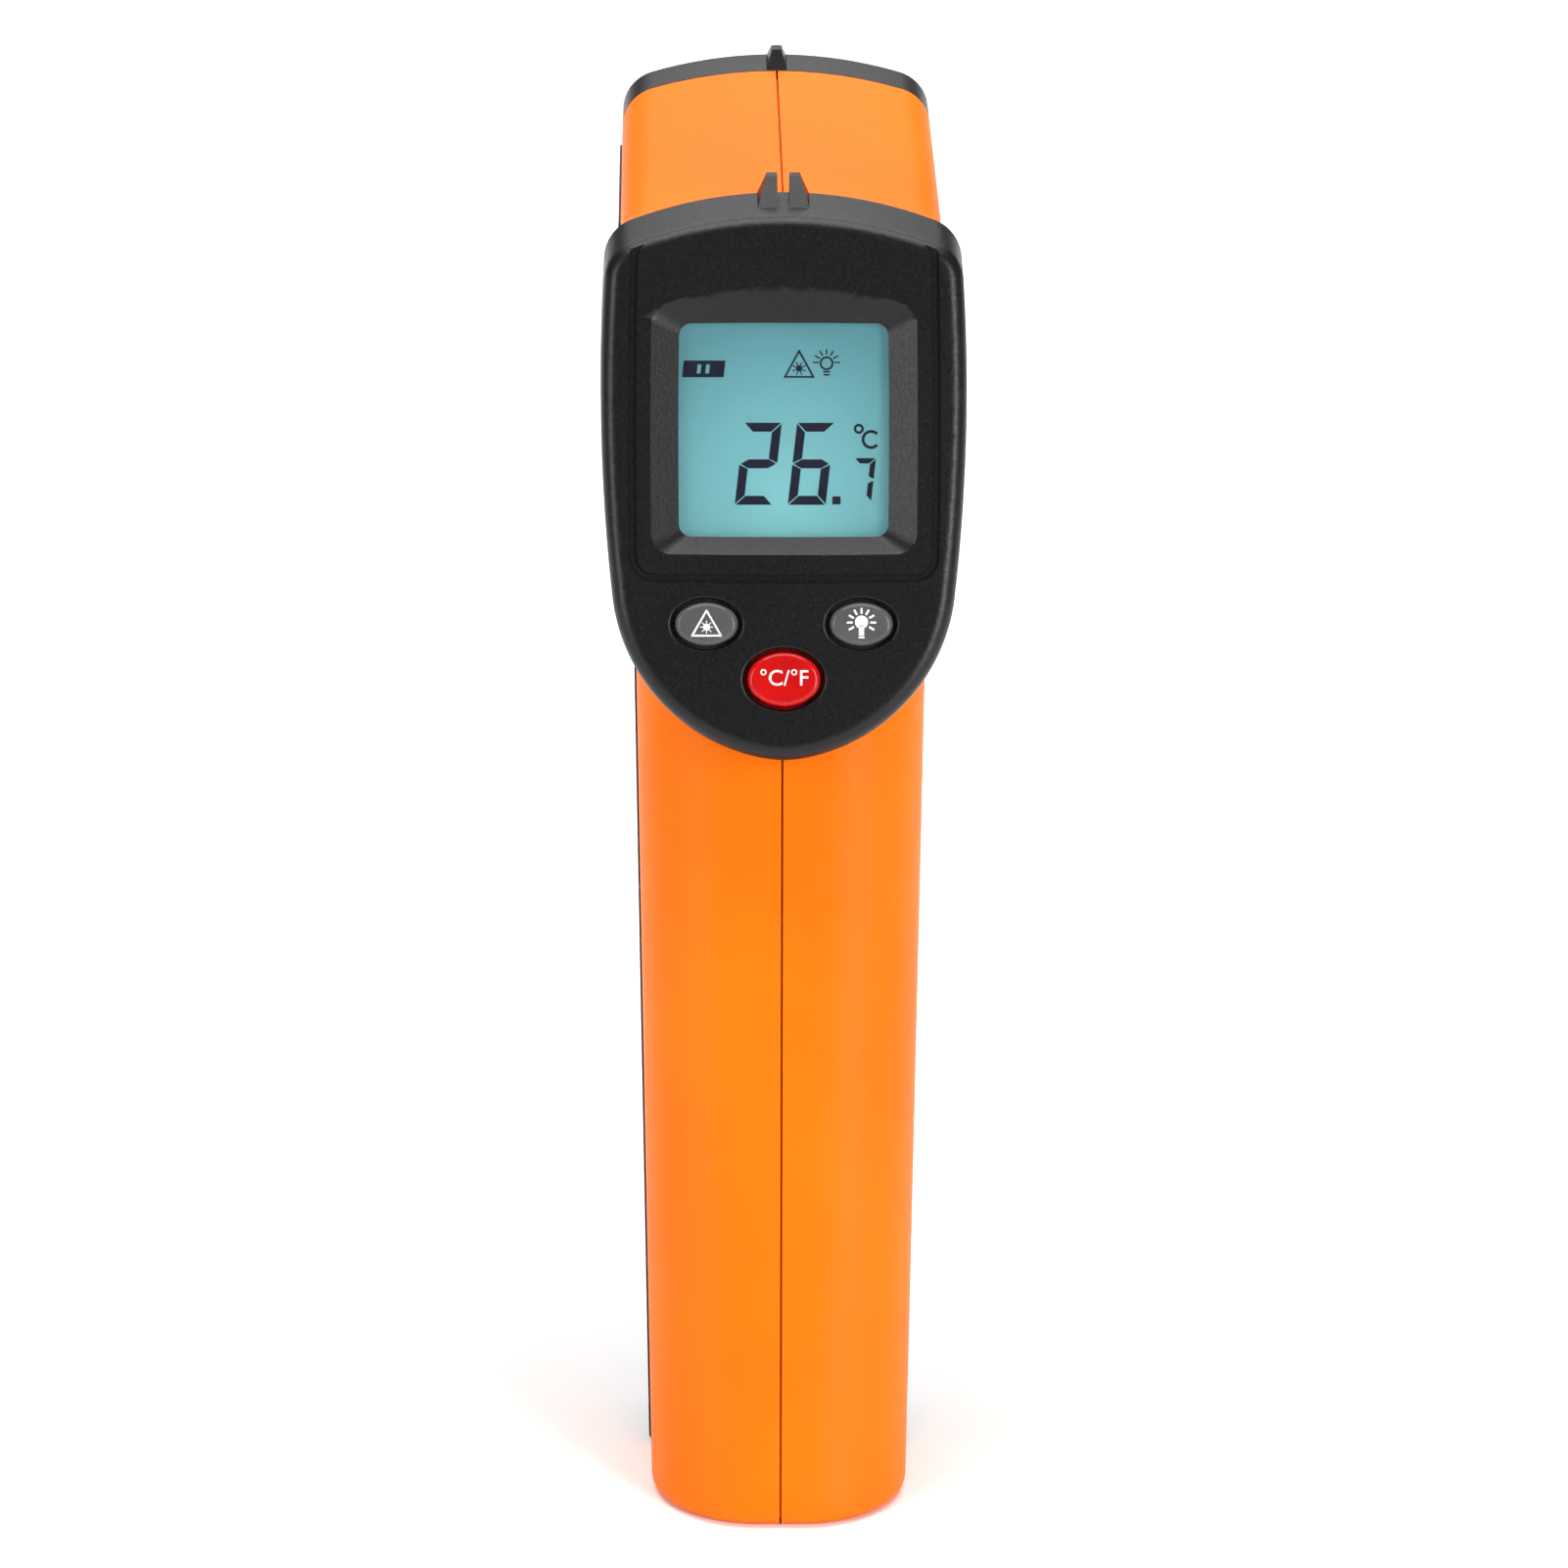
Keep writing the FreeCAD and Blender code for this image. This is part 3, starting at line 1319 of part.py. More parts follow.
# ---------------------------------------------------------------------------------------------
# Keys and their switches
# ---------------------------------------------------------------------------------------------
PLUNGER_TOP = "(plate + fit + key_flange)"
PLUNGER_LONG = f"({BOARD_FRONT} - switch_high - {PLUNGER_TOP} + 1.3)"
switch_bodies = []
for name, (x, y, wide, tall, end) in KEYS.items():
    key = new_body(name + "_body", "display")
    cap_sketch = sketch_on(key, name + "_cap", "XY_Plane", "key_rise")
    oval(cap_sketch, wide, tall, end, x, y)
    pad(key, cap_sketch, "key_rise + plate + fit + key_flange", reverse=True)
    top = read("key_rise")
    round_edges(key, "key_dome", lambda edge: edge.BoundBox.ZMin > top - 0.01)
    flange = sketch_on(key, name + "_flange", "XY_Plane", "-plate - fit")
    lip = "key_gap + key_lip"
    oval(flange, f"{wide} + 2 * ({lip})", f"{tall} + 2 * ({lip})", f"{end} + {lip}", x, y)
    pad(key, flange, "key_flange", reverse=True)
    part(key, name)
    top_z = f"-{PLUNGER_TOP}"
    plunger = rod(name + "_rod", "display", "plunger_radius", PLUNGER_LONG, x, y, f"{top_z} - {PLUNGER_LONG}")
    part(plunger, name + "_plunger")
    case = block(
        name + "_case",
        "display",
        "switch_side",
        "switch_side",
        "switch_high",
        f"{x} - switch_side / 2",
        f"{y} - switch_side / 2",
        f"-{BOARD_FRONT}",
    )
    bore_end = f"{top_z} - {PLUNGER_LONG} - key_travel - 0.1"
    bore = rod(name + "_bore", "display", "plunger_radius + running", "huge", x, y, bore_end)
    switch_bodies.append(cut(name + "_switch", case, bore))
part(group("switch_set", *switch_bodies), "key_switches")

# ---------------------------------------------------------------------------------------------
# Trigger, its pin, spring and switch
# ---------------------------------------------------------------------------------------------
blade = new_body("trigger_blade")
blade_sketch = sketch_on(blade, "trigger_outline", "YZ_Plane")
BACK = "pivot_y - trigger_back"
polygon(
    blade_sketch,
    [
        (BACK, "pivot_z"),
        (BACK, "pivot_z - trigger_drop"),
        ("pivot_y + trigger_tip - 2.6", "pivot_z - trigger_tip_drop - 1.6"),
        ("pivot_y + trigger_tip", "pivot_z - trigger_tip_drop + 0.8"),
        ("pivot_y + trigger_tip - 1.9", "pivot_z - trigger_tip_drop * 0.72"),
        ("pivot_y + trigger_tip - 1.6", "pivot_z - trigger_tip_drop * 0.42"),
        ("pivot_y + trigger_reach - 0.6", "pivot_z - 3.4"),
        ("pivot_y + trigger_reach", "pivot_z + 2.2"),
        ("pivot_y + trigger_hub", "pivot_z + trigger_hub - 0.8"),
    ],
)
pad(blade, blade_sketch, "trigger_wide", middle=True)


def is_trigger_edge(edge):
    """Edges across the trigger and around the face that the finger pulls."""
    box = edge.BoundBox
    if box.XLength > 1:
        return box.ZMax < read("pivot_z - 3") and box.YMin > read("pivot_y + 4")
    is_front = box.YMin > read("pivot_y + trigger_tip - 3.2")
    return is_front and box.ZMax < read("pivot_z + 2.3") and box.ZLength > 0.5


round_edges(blade, "trigger_round", is_trigger_edge)
hub = crossbar("trigger_hub_rod", "trigger_hub", "-trigger_wide / 2", "trigger_wide", "pivot_y", "pivot_z")
hub_bore = crossbar("trigger_hub_bore", "pin_radius + running", "-huge / 2", "huge", "pivot_y", "pivot_z")
part(cut("trigger_piece", fuse("trigger_solid", blade, hub), hub_bore), "trigger")
pin = crossbar("trigger_pin_rod", "pin_radius", "-pin_half", "2 * pin_half", "pivot_y", "pivot_z")
part(pin, "trigger_pin")


def coil(name, frame, radius, wire, tall, turns, x, y, z):
    """A helical spring that stands along the frame's z, tall over its wire."""
    body = doc.addObject("PartDesign::Body", name)
    section = sketch_on(body, name + "_wire", "XZ_Plane")
    circle(section, wire, radius, wire)
    helix = body.newObject("PartDesign::AdditiveHelix", name + "_helix")
    helix.Profile = section
    helix.ReferenceAxis = (section, ["V_Axis"])
    helix.Mode = 0
    bind(helix, "Pitch", f"({tall} - 2 * {wire}) / {turns}")
    bind(helix, "Height", f"{tall} - 2 * {wire}")
    return stand(body, frame, x, y, z)


TURN_Z = "optic_z - "
COIL = ("spring_radius", "spring_wire", "spring_long", "5")
part(coil("return_coil", "barrel", *COIL, "0", f"{TURN_Z} spring_z", SEAT_Y), "trigger_spring")
SWITCH_FRONT = "(pivot_y - trigger_back - switch_front)"
SWITCH_BACK = f"({SWITCH_FRONT} - switch_deep)"
PLUNGER_END = "(pivot_y - trigger_back - stack_gap)"
switch_bore_end = f"{PLUNGER_END} - switch_plunger_long - switch_stroke - 0.1"
CASE = ("switch_body", "switch_deep", "switch_body")
switch_case = middle_block("switch_case", "body", *CASE, SWITCH_BACK, "switch_z - switch_body / 2")
switch_bore = rod(
    "switch_bore", "barrel", "switch_plunger + running", "huge", "0", f"{TURN_Z} switch_z", switch_bore_end
)
part(cut("switch_piece", switch_case, switch_bore), "trigger_switch")
part(
    rod(
        "switch_rod",
        "barrel",
        "switch_plunger",
        "switch_plunger_long",
        "0",
        f"{TURN_Z} switch_z",
        f"{PLUNGER_END} - switch_plunger_long",
    ),
    "trigger_plunger",
)
part(
    middle_block(
        "switch_board",
        "body",
        "trigger_board_wide",
        "trigger_board_thick",
        "trigger_board_tall",
        f"{SWITCH_BACK} - trigger_board_thick",
        "switch_z - trigger_board_tall / 2",
    ),
    "trigger_board",
)

# ---------------------------------------------------------------------------------------------
# Battery tray, cells and contacts
# ---------------------------------------------------------------------------------------------
CELLS = "(cell_long + nub_long + cell_spring_long + 2 * contact_thick)"  # clear length of the tray
TRAY_BACK = "(cell_y - cell_radius - 2 * fit)"
TRAY_HALF = "(cell_x + cell_radius + 2 * fit)"
TRAY_HIGH = "(cell_radius + 2 * fit + 2)"
tray = cut(
    "tray",
    middle_block(
        "tray_blank",
        "grip",
        f"2 * ({TRAY_HALF} + tray_wall)",
        f"{TRAY_HIGH} + tray_wall",
        f"{CELLS} + 2 * tray_wall",
        f"{TRAY_BACK} - tray_wall",
        "cell_z - tray_wall",
    ),
    middle_block("tray_room", "grip", f"2 * {TRAY_HALF}", "huge", CELLS, TRAY_BACK, "cell_z"),
)
part(tray, "battery_tray")
CELL_TOP = f"(cell_z + {CELLS} - contact_thick)"
CELL_FOOT = "(cell_z + contact_thick)"


def cell(name, x, up):
    """A cell with its nub at the upper or the lower end."""
    nub_start = f"{CELL_TOP} - nub_long" if up else CELL_FOOT
    can_start = f"{CELL_TOP} - nub_long - cell_long" if up else f"{CELL_FOOT} + nub_long"
    can = rod(name + "_can", "grip", "cell_radius", "cell_long", x, "cell_y", can_start)
    button = rod(name + "_button", "grip", "nub_radius", "nub_long", x, "cell_y", nub_start)
    return part(fuse(name + "_whole", can, button), name)


cell("left_cell", "-cell_x", True)
cell("right_cell", "cell_x", False)
battery_coils = [
    coil(
        "lower_coil",
        "grip",
        "cell_spring_radius",
        "cell_spring_wire / 2",
        "cell_spring_long",
        "4",
        "-cell_x",
        "cell_y",
        CELL_FOOT,
    ),
    coil(
        "upper_coil",
        "grip",
        "cell_spring_radius",
        "cell_spring_wire / 2",
        "cell_spring_long",
        "4",
        "cell_x",
        "cell_y",
        f"{CELL_TOP} - cell_spring_long",
    ),
]
part(group("battery_coils", *battery_coils), "battery_springs")


def contact(name, wide, x, z):
    """A sheet contact across the end of a cell, from x on."""
    return block(name, "grip", wide, "contact_wide", "contact_thick", x, "cell_y - contact_wide / 2", z)


top_contacts = [
    contact("left_contact", "contact_wide", "-cell_x - contact_wide / 2", CELL_TOP),
    contact("right_contact", "contact_wide", "cell_x - contact_wide / 2", CELL_TOP),
]
part(group("contacts", *top_contacts), "battery_contacts")
link = contact("link", "2 * cell_x + contact_wide", "-cell_x - contact_wide / 2", "cell_z")
part(link, "battery_link")

# ---------------------------------------------------------------------------------------------
# Battery door: the black front of the grip, hinged at the base
# ---------------------------------------------------------------------------------------------
door_span = middle_block("door_span", "grip", "huge", "huge", "huge + door_top - fit", "belt + fit", "-huge")
door_ring = cut("door_ring", proud, cavity)
door_wall = common("door_wall", door_ring, door_span)
hinge_ring = common(
    "hinge_ring", door_ring, crossbar("hinge_disc", "hinge_radius", "-huge / 2", "huge", HINGE_Y, "hinge_z")
)
knuckles = []
for side, start in (("left", "-knuckle_out"), ("right", "knuckle_in")):
    knuckles.append(
        crossbar(side + "_knuckle", "knuckle_radius", start, "knuckle_out - knuckle_in", HINGE_Y, "hinge_z")
    )
door_notch = crossbar("door_notch", "notch_radius", "-notch_half", "2 * notch_half", "notch_y", "notch_z")
lug_room = [
    crossbar("left_lug_room", "lug_clear", "-lug_out - 0.4", "lug_out - lug_in + 0.7", HINGE_Y, "hinge_z"),
    crossbar("right_lug_room", "lug_clear", "lug_in - 0.3", "lug_out - lug_in + 0.7", HINGE_Y, "hinge_z"),
]
door_bore = crossbar("door_bore", "hinge_pin + running", "-lug_out", "2 * lug_out", HINGE_Y, "hinge_z")
door = cut("door", fuse("door_solid", door_wall, hinge_ring, *knuckles), door_bore, door_notch, *lug_room)
part(door, "battery_door")
part(crossbar("hinge_rod", "hinge_pin", "-lug_out", "2 * lug_out", HINGE_Y, "hinge_z"), "door_hinge_pin")

# ---------------------------------------------------------------------------------------------
# Leads inside the housing
# ---------------------------------------------------------------------------------------------


def lead(name, points):
    """A wire along straight runs joined by tangent arcs."""
    radius = read("lead_radius")
    corners = [Vector(*point) for point in points]
    edges = []
    start = corners[0]
    for before, corner, after in zip(corners, corners[1:], corners[2:]):
        back = (before - corner).normalize()
        ahead = (after - corner).normalize()
        turn = math.pi - back.getAngle(ahead)
        cutback = 0.45 * min(before.distanceToPoint(corner), corner.distanceToPoint(after))
        bend = cutback / math.tan(turn / 2)
        inward = (back + ahead).normalize()
        middle = corner + inward * (math.hypot(bend, cutback) - bend)
        edges.append(Part.LineSegment(start, corner + back * cutback).toShape())
        edges.append(Part.Arc(corner + back * cutback, middle, corner + ahead * cutback).toShape())
        start = corner + ahead * cutback
    edges.append(Part.LineSegment(start, corners[-1]).toShape())
    path = Part.Wire(edges)
    rim = Part.Wire(Part.Circle(corners[0], corners[1] - corners[0], radius).toShape())
    wire = doc.addObject("Part::Feature", name)
    wire.Shape = path.makePipeShell([rim], True, True)
    wire.Placement = Placement()
    expected = math.pi * radius**2 * path.Length
    if abs(wire.Shape.Volume / expected - 1) > 0.02:
        raise RuntimeError(f"{name} is not a clean tube")
    return wire


def battery_lead(name, side):
    points = [(5.6, -8.6, 64.2), (5.6, -11.8, 69.5), (6.4, -19.2, 76.5), (6.4, -19.4, 85), (5.8, -17.6, 95)]
    points.append((5.4, -16.0, 103.4))
    return lead(name, [(side * x, y, z) for x, y, z in points])


part(battery_lead("left_battery_lead", -1), "positive_lead")
part(battery_lead("right_battery_lead", 1), "negative_lead")
TRIGGER_ROUTE = [(-7.1, 95.8), (-10.6, 97.2), (-13.8, 102.5), (-15.0, 109.0)]
LASER_ROUTE = [(31.2, 117.6), (25.5, 117.2), (14.0, 114.2), (1.5, 113.4), (-6.5, 114.6), (-12.6, 116.0)]
SENSOR_ROUTE = [(25.9, 131.0), (20.5, 131.2), (9.0, 128.4), (-1.0, 127.4), (-7.6, 128.4)]
LEAD_SETS = {
    "trigger_leads": (TRIGGER_ROUTE, (-5.0, 5.0)),
    "laser_leads": (LASER_ROUTE, (-1.4, 1.4)),
    "sensor_leads": (SENSOR_ROUTE, (-2.4, 0.0, 2.4)),
}
for label, (route, sides) in LEAD_SETS.items():
    wires = [lead(f"{label}_{number}", [(x, y, z) for y, z in route]) for number, x in enumerate(sides)]
    part(group(label + "_set", *wires), label)

# ---------------------------------------------------------------------------------------------
# Checks and export
# ---------------------------------------------------------------------------------------------
doc.recompute()
for thing in doc.Objects:
    if "Invalid" in thing.State or "Error" in thing.State:
        raise RuntimeError(f"{thing.Label} failed: {thing.State}")
if len({thing.Label for thing in parts}) != len(parts):
    raise RuntimeError("two sub-parts share a name")
os.makedirs("parts", exist_ok=True)
for thing in parts:
    if thing.Shape.isNull() or not thing.Shape.isValid() or not thing.Shape.Solids:
        raise RuntimeError(f"{thing.Label} has no valid solid")
    thing.Shape.exportStep(os.path.join("parts", thing.Label + ".step"))
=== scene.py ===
import math

import bmesh
import bpy
from mathutils import Matrix, Vector


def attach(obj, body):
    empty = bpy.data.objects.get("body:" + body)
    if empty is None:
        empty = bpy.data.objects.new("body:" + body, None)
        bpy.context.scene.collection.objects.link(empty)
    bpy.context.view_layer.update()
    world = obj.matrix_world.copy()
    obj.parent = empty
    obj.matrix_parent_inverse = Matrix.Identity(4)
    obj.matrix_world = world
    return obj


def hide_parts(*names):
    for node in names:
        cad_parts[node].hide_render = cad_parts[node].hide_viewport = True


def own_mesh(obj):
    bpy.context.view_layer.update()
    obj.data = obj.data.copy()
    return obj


# A pistol-shaped infrared thermometer: an orange housing in two halves, black side inlays, a
# black rear bezel with the display and three keys, a nose cap with the lens, and a battery door.
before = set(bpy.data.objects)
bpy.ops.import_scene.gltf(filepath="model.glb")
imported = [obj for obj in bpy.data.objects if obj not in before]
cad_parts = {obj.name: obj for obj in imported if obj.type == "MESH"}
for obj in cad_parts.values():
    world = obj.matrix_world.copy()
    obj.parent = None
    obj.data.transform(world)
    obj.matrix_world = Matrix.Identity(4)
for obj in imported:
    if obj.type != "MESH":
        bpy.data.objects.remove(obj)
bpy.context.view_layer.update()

# ---------------------------------------------------------------------------------------------
# Housing halves: two orange ABS shells, injection moulded with a fine spark-eroded grain and
# screwed together along the middle. The grain scatters light, so highlights on them are broad.
# ---------------------------------------------------------------------------------------------
MM = 0.001


def linear(hex_colour):
    """An sRGB hex value as a linear colour."""
    parts = [int(hex_colour[i : i + 2], 16) / 255 for i in (1, 3, 5)]
    parts = [p / 12.92 if p <= 0.04045 else ((p + 0.055) / 1.055) ** 2.4 for p in parts]
    return (*parts, 1.0)


def add_node(material, kind, settings=None, links=None):
    """Adds a node, sets its inputs and properties, and links inputs to other nodes' outputs."""
    node = material.node_tree.nodes.new(kind)
    for name, value in (settings or {}).items():
        if name in node.inputs:
            node.inputs[name].default_value = value
        else:
            setattr(node, name, value)
    for name, (source, output) in (links or {}).items():
        material.node_tree.links.new(source.outputs[output], node.inputs[name])
    return node


def new_material(name, **shader):
    """A material with the Principled shader's own sockets set."""
    material = bpy.data.materials.new(name)
    material.use_nodes = True
    surface = material.node_tree.nodes["Principled BSDF"]
    for key, value in shader.items():
        surface.inputs[key.replace("_", " ")].default_value = value
    return material, surface


def grained(material, surface, colours, grain_mm, bump_mm, rough, mottle_mm=18.0, painted_glint=None):
    """Moulded plastic: a slow change of shade, a fine grain in the surface, its gloss, and, if asked, painted
    glints.
    """
    link = material.node_tree.links.new
    place = add_node(material, "ShaderNodeTexCoord")
    slow = add_node(
        material,
        "ShaderNodeTexNoise",
        {"Scale": 1 / (mottle_mm * MM), "Detail": 2.0, "Roughness": 0.5},
        {"Vector": (place, "Object")},
    )
    fine = add_node(
        material,
        "ShaderNodeTexNoise",
        {"Scale": 1 / (grain_mm * MM), "Detail": 3.0, "Roughness": 0.55},
        {"Vector": (place, "Object")},
    )
    shade = add_node(material, "ShaderNodeValToRGB", {}, {"Fac": (slow, "Fac")})
    shade.color_ramp.elements[0].position = 0.3
    shade.color_ramp.elements[1].position = 0.7
    shade.color_ramp.elements[0].color = linear(colours[0])
    shade.color_ramp.elements[1].color = linear(colours[1])
    colour = shade, "Color"
    # Painted glints: small light grey specks added to the colour, standing for the grain catching the light.
    if painted_glint:
        glint_cells = add_node(
            material,
            "ShaderNodeTexVoronoi",
            {"Scale": 1 / (painted_glint[1] * MM), "Randomness": 1.0},
            {"Vector": (place, "Object")},
        )
        glint_spots = add_node(material, "ShaderNodeValToRGB", {}, {"Fac": (glint_cells, "Distance")})
        glint_spots.color_ramp.elements[0].color = linear(painted_glint[0])
        glint_spots.color_ramp.elements[1].color = (0, 0, 0, 1)
        glint_spots.color_ramp.elements[1].position = 0.16
        mixed = add_node(material, "ShaderNodeMix", {"data_type": "RGBA", "blend_type": "ADD"})
        mixed.inputs[0].default_value = 1.0
        link(shade.outputs["Color"], mixed.inputs[6])
        link(glint_spots.outputs["Color"], mixed.inputs[7])
        colour = mixed, 2
    link(colour[0].outputs[colour[1]], surface.inputs["Base Color"])
    gloss = add_node(
        material,
        "ShaderNodeMapRange",
        {"From Min": 0.25, "From Max": 0.75, "To Min": rough[0], "To Max": rough[1]},
        {"Value": (fine, "Fac")},
    )
    link(gloss.outputs["Result"], surface.inputs["Roughness"])
    relief = add_node(
        material, "ShaderNodeBump", {"Distance": bump_mm * MM, "Strength": 0.6}, {"Height": (fine, "Fac")}
    )
    link(relief.outputs["Normal"], surface.inputs["Normal"])
    return material


SAME_POINT = 0.002 * MM  # corners closer than this are one corner
NO_LENGTH = 0.001 * MM  # edges shorter than this are dropped


def dressed(node, material, body, angle=32.0, edge_mm=0.0):
    """A smooth-shaded copy of a node in its finish, which stands for the node.

    Edges sharper than the angle stay crisp, and edge_mm rounds them where the real piece is worn.
    """
    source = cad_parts[node].data
    mesh = bpy.data.meshes.new(node + "_skin")
    bm = bmesh.new()
    bm.from_mesh(source)
    bmesh.ops.remove_doubles(bm, verts=bm.verts, dist=SAME_POINT)
    bmesh.ops.dissolve_degenerate(bm, edges=bm.edges, dist=NO_LENGTH)
    for face in bm.faces:
        face.smooth = True
        face.material_index = 0
    bm.to_mesh(mesh)
    bm.free()
    for extra in ("custom_normal", "sharp_face"):
        if extra in mesh.attributes:
            mesh.attributes.remove(mesh.attributes[extra])
    mesh.set_sharp_from_angle(angle=math.radians(angle))
    mesh.materials.clear()
    mesh.materials.append(material)
    piece = bpy.data.objects.new(node + "_skin", mesh)
    bpy.context.scene.collection.objects.link(piece)
    if edge_mm:
        rounding = piece.modifiers.new("edge", "BEVEL")
        rounding.width = edge_mm * MM
        rounding.segments = 2
        rounding.limit_method = "ANGLE"
        rounding.angle_limit = math.radians(40)
        rounding.use_clamp_overlap = True
        rounding.harden_normals = False
    even = piece.modifiers.new("even", "WEIGHTED_NORMAL")
    even.keep_sharp = True
    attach(piece, body)
    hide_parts(node)
    return piece


orange_abs, orange_surface = new_material(
    "orange_abs", IOR=1.53, Specular_IOR_Level=0.12, Subsurface_Weight=0.03
)
orange_surface.inputs["Subsurface Scale"].default_value = 0.8 * MM
grained(orange_abs, orange_surface, ("#FF7203", "#FF7A06"), 0.34, 0.018, (0.40, 0.52), mottle_mm=30)
for half in ("left_housing", "right_housing"):
    dressed(half, orange_abs, "housing")

# ---------------------------------------------------------------------------------------------
# Side inlays: thin black ABS panels let into both sides of the head and the front of the upper
# grip, with a coarser grain than the orange shells so that fingers don't slip.
# ---------------------------------------------------------------------------------------------
black_abs, black_surface = new_material("black_textured_abs", IOR=1.52, Specular_IOR_Level=0.3)
# The light grey specks given here are painted glints of the coarse grain, the same on every face.
grained(
    black_abs,
    black_surface,
    ("#0E0E0F", "#121213"),
    0.42,
    0.045,
    (0.3, 0.42),
    mottle_mm=22,
    painted_glint=("#343435", 0.6),
)
for side in ("left_side_inlay", "right_side_inlay"):
    dressed(side, black_abs, "housing")

# ---------------------------------------------------------------------------------------------
# Rear bezel: one black ABS moulding with the sights, the double line round the face and the
# bevelled recess of the display. It closes the back of the head.
# ---------------------------------------------------------------------------------------------
dressed("rear_bezel", black_abs, "housing", angle=28)

# ---------------------------------------------------------------------------------------------
# Nose cap: a black ABS moulding with a finer, glossier grain than the bezel. It plugs into the
# front of the halves and carries the front sight and both mouths.
# ---------------------------------------------------------------------------------------------
cap_abs, cap_surface = new_material("satin_black_abs", IOR=1.52, Specular_IOR_Level=0.3)
grained(cap_abs, cap_surface, ("#1C1C1E", "#222224"), 0.3, 0.012, (0.3, 0.42), mottle_mm=20)
dressed("nose_cap", cap_abs, "housing", angle=28)

# ---------------------------------------------------------------------------------------------
# Battery door and trigger: black ABS like the inlays. The door is the front of the lower grip,
# and the trigger is polished a little by the finger.
# ---------------------------------------------------------------------------------------------
dressed("battery_door", black_abs, "battery_door")
trigger_abs, trigger_surface = new_material("rubbed_black_abs", IOR=1.52, Specular_IOR_Level=0.2)
grained(trigger_abs, trigger_surface, ("#19191A", "#202021"), 0.35, 0.015, (0.32, 0.46), mottle_mm=9)
dressed("trigger", trigger_abs, "trigger", edge_mm=0.3)

# ---------------------------------------------------------------------------------------------
# Keys: moulded silicone caps, two grey and one red, each with a clear hard coat on its domed
# top, so they show small sharp highlights.
# ---------------------------------------------------------------------------------------------
HARD_COAT = {"Specular_IOR_Level": 0.2, "Coat_Weight": 0.3, "Coat_Roughness": 0.12}
grey_cap, grey_surface = new_material("grey_silicone", **HARD_COAT)
grained(grey_cap, grey_surface, ("#4E4E4F", "#565657"), 0.5, 0.004, (0.3, 0.38), mottle_mm=4)
red_cap, red_surface = new_material("red_silicone", **HARD_COAT)
grained(red_cap, red_surface, ("#B80809", "#C60B0B"), 0.5, 0.004, (0.28, 0.36), mottle_mm=4)
for key, finish, slot_name in (
    ("laser_key", grey_cap, "grey_rubber"),
    ("light_key", grey_cap, "grey_rubber"),
    ("unit_key", red_cap, "red_rubber"),
):
    dressed(key, finish, key, angle=40)

# Icons are printed in white ink on the caps: a triangle round a dot for the aiming beam, a bulb
# with rays for the display light, and the two unit signs. Each is a thin film that lies on its
# cap and moves with it.
TILT = math.radians(22.0)
FACE_Y = -17.2 * MM
FACE_Z = 127.6 * MM
KEY_TOP = 0.5  # mm from the face to the flat top of a cap


def on_face(height_mm):
    """The place of the display frame: x to the right, y up the face, z out of it."""
    turn = Matrix.Rotation(math.pi / 2 - TILT, 4, "X")
    out = turn.to_3x3() @ Vector((0, 0, height_mm * MM))
    return Matrix.Translation(Vector((0, FACE_Y, FACE_Z)) + out) @ turn


def flat_shape(bm, points, thick):
    """A flat plate of the given outline, its top at z = thick."""
    corners = [bm.verts.new((x * MM, y * MM, 0)) for x, y in points]
    face = bm.faces.new(corners)
    grown = bmesh.ops.extrude_face_region(bm, geom=[face])
    top = [v for v in grown["geom"] if isinstance(v, bmesh.types.BMVert)]
    bmesh.ops.translate(bm, verts=top, vec=(0, 0, thick * MM))


def flat_ring(bm, x, y, outer, inner, thick, start=0.0, sweep=360.0, steps=32):
    """A flat ring, or part of one."""
    turns = [math.radians(start + sweep * i / steps) for i in range(steps + 1)]
    for one, two in zip(turns, turns[1:]):
        points = [(x + r * math.cos(a), y + r * math.sin(a)) for r, a in ((inner, one), (outer, one))]
        points += [(x + r * math.cos(a), y + r * math.sin(a)) for r, a in ((outer, two), (inner, two))]
        flat_shape(bm, points, thick)


def flat_disc(bm, x, y, radius, thick, steps=24):
    """A flat round dot."""
    turns = [2 * math.pi * i / steps for i in range(steps)]
    flat_shape(bm, [(x + radius * math.cos(a), y + radius * math.sin(a)) for a in turns], thick)


def flat_line(bm, x0, y0, x1, y1, wide, thick):
    """A straight stroke with square ends."""
    along = Vector((x1 - x0, y1 - y0)).normalized() * wide / 2
    across = Vector((-along.y, along.x))
    start, end = Vector((x0, y0)) - along, Vector((x1, y1)) + along
    flat_shape(bm, [start - across, end - across, end + across, start + across], thick)


def flat_rays(bm, x, y, near, far, wide, thick, turns):
    """Short strokes round a point, one at each of the given turns in degrees."""
    for turn in turns:
        a = math.radians(turn)
        across, up = math.cos(a), math.sin(a)
        flat_line(bm, x + near * across, y + near * up, x + far * across, y + far * up, wide, thick)


def flat_triangle(bm, corners, wide, thick):
    """The outline of a triangle."""
    for (x0, y0), (x1, y1) in zip(corners, corners[1:] + corners[:1]):
        flat_line(bm, x0, y0, x1, y1, wide, thick)


def film(name, bm, height_mm, material, body):
    """Finishes a flat piece: puts it on the face at a height, and lets it ride on its body."""
    bmesh.ops.transform(bm, matrix=on_face(height_mm), verts=bm.verts)
    bmesh.ops.recalc_face_normals(bm, faces=bm.faces)
    mesh = bpy.data.meshes.new(name)
    bm.to_mesh(mesh)
    bm.free()
    mesh.materials.append(material)
    piece = bpy.data.objects.new(name, mesh)
    bpy.context.scene.collection.objects.link(piece)
    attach(piece, body)
    return piece


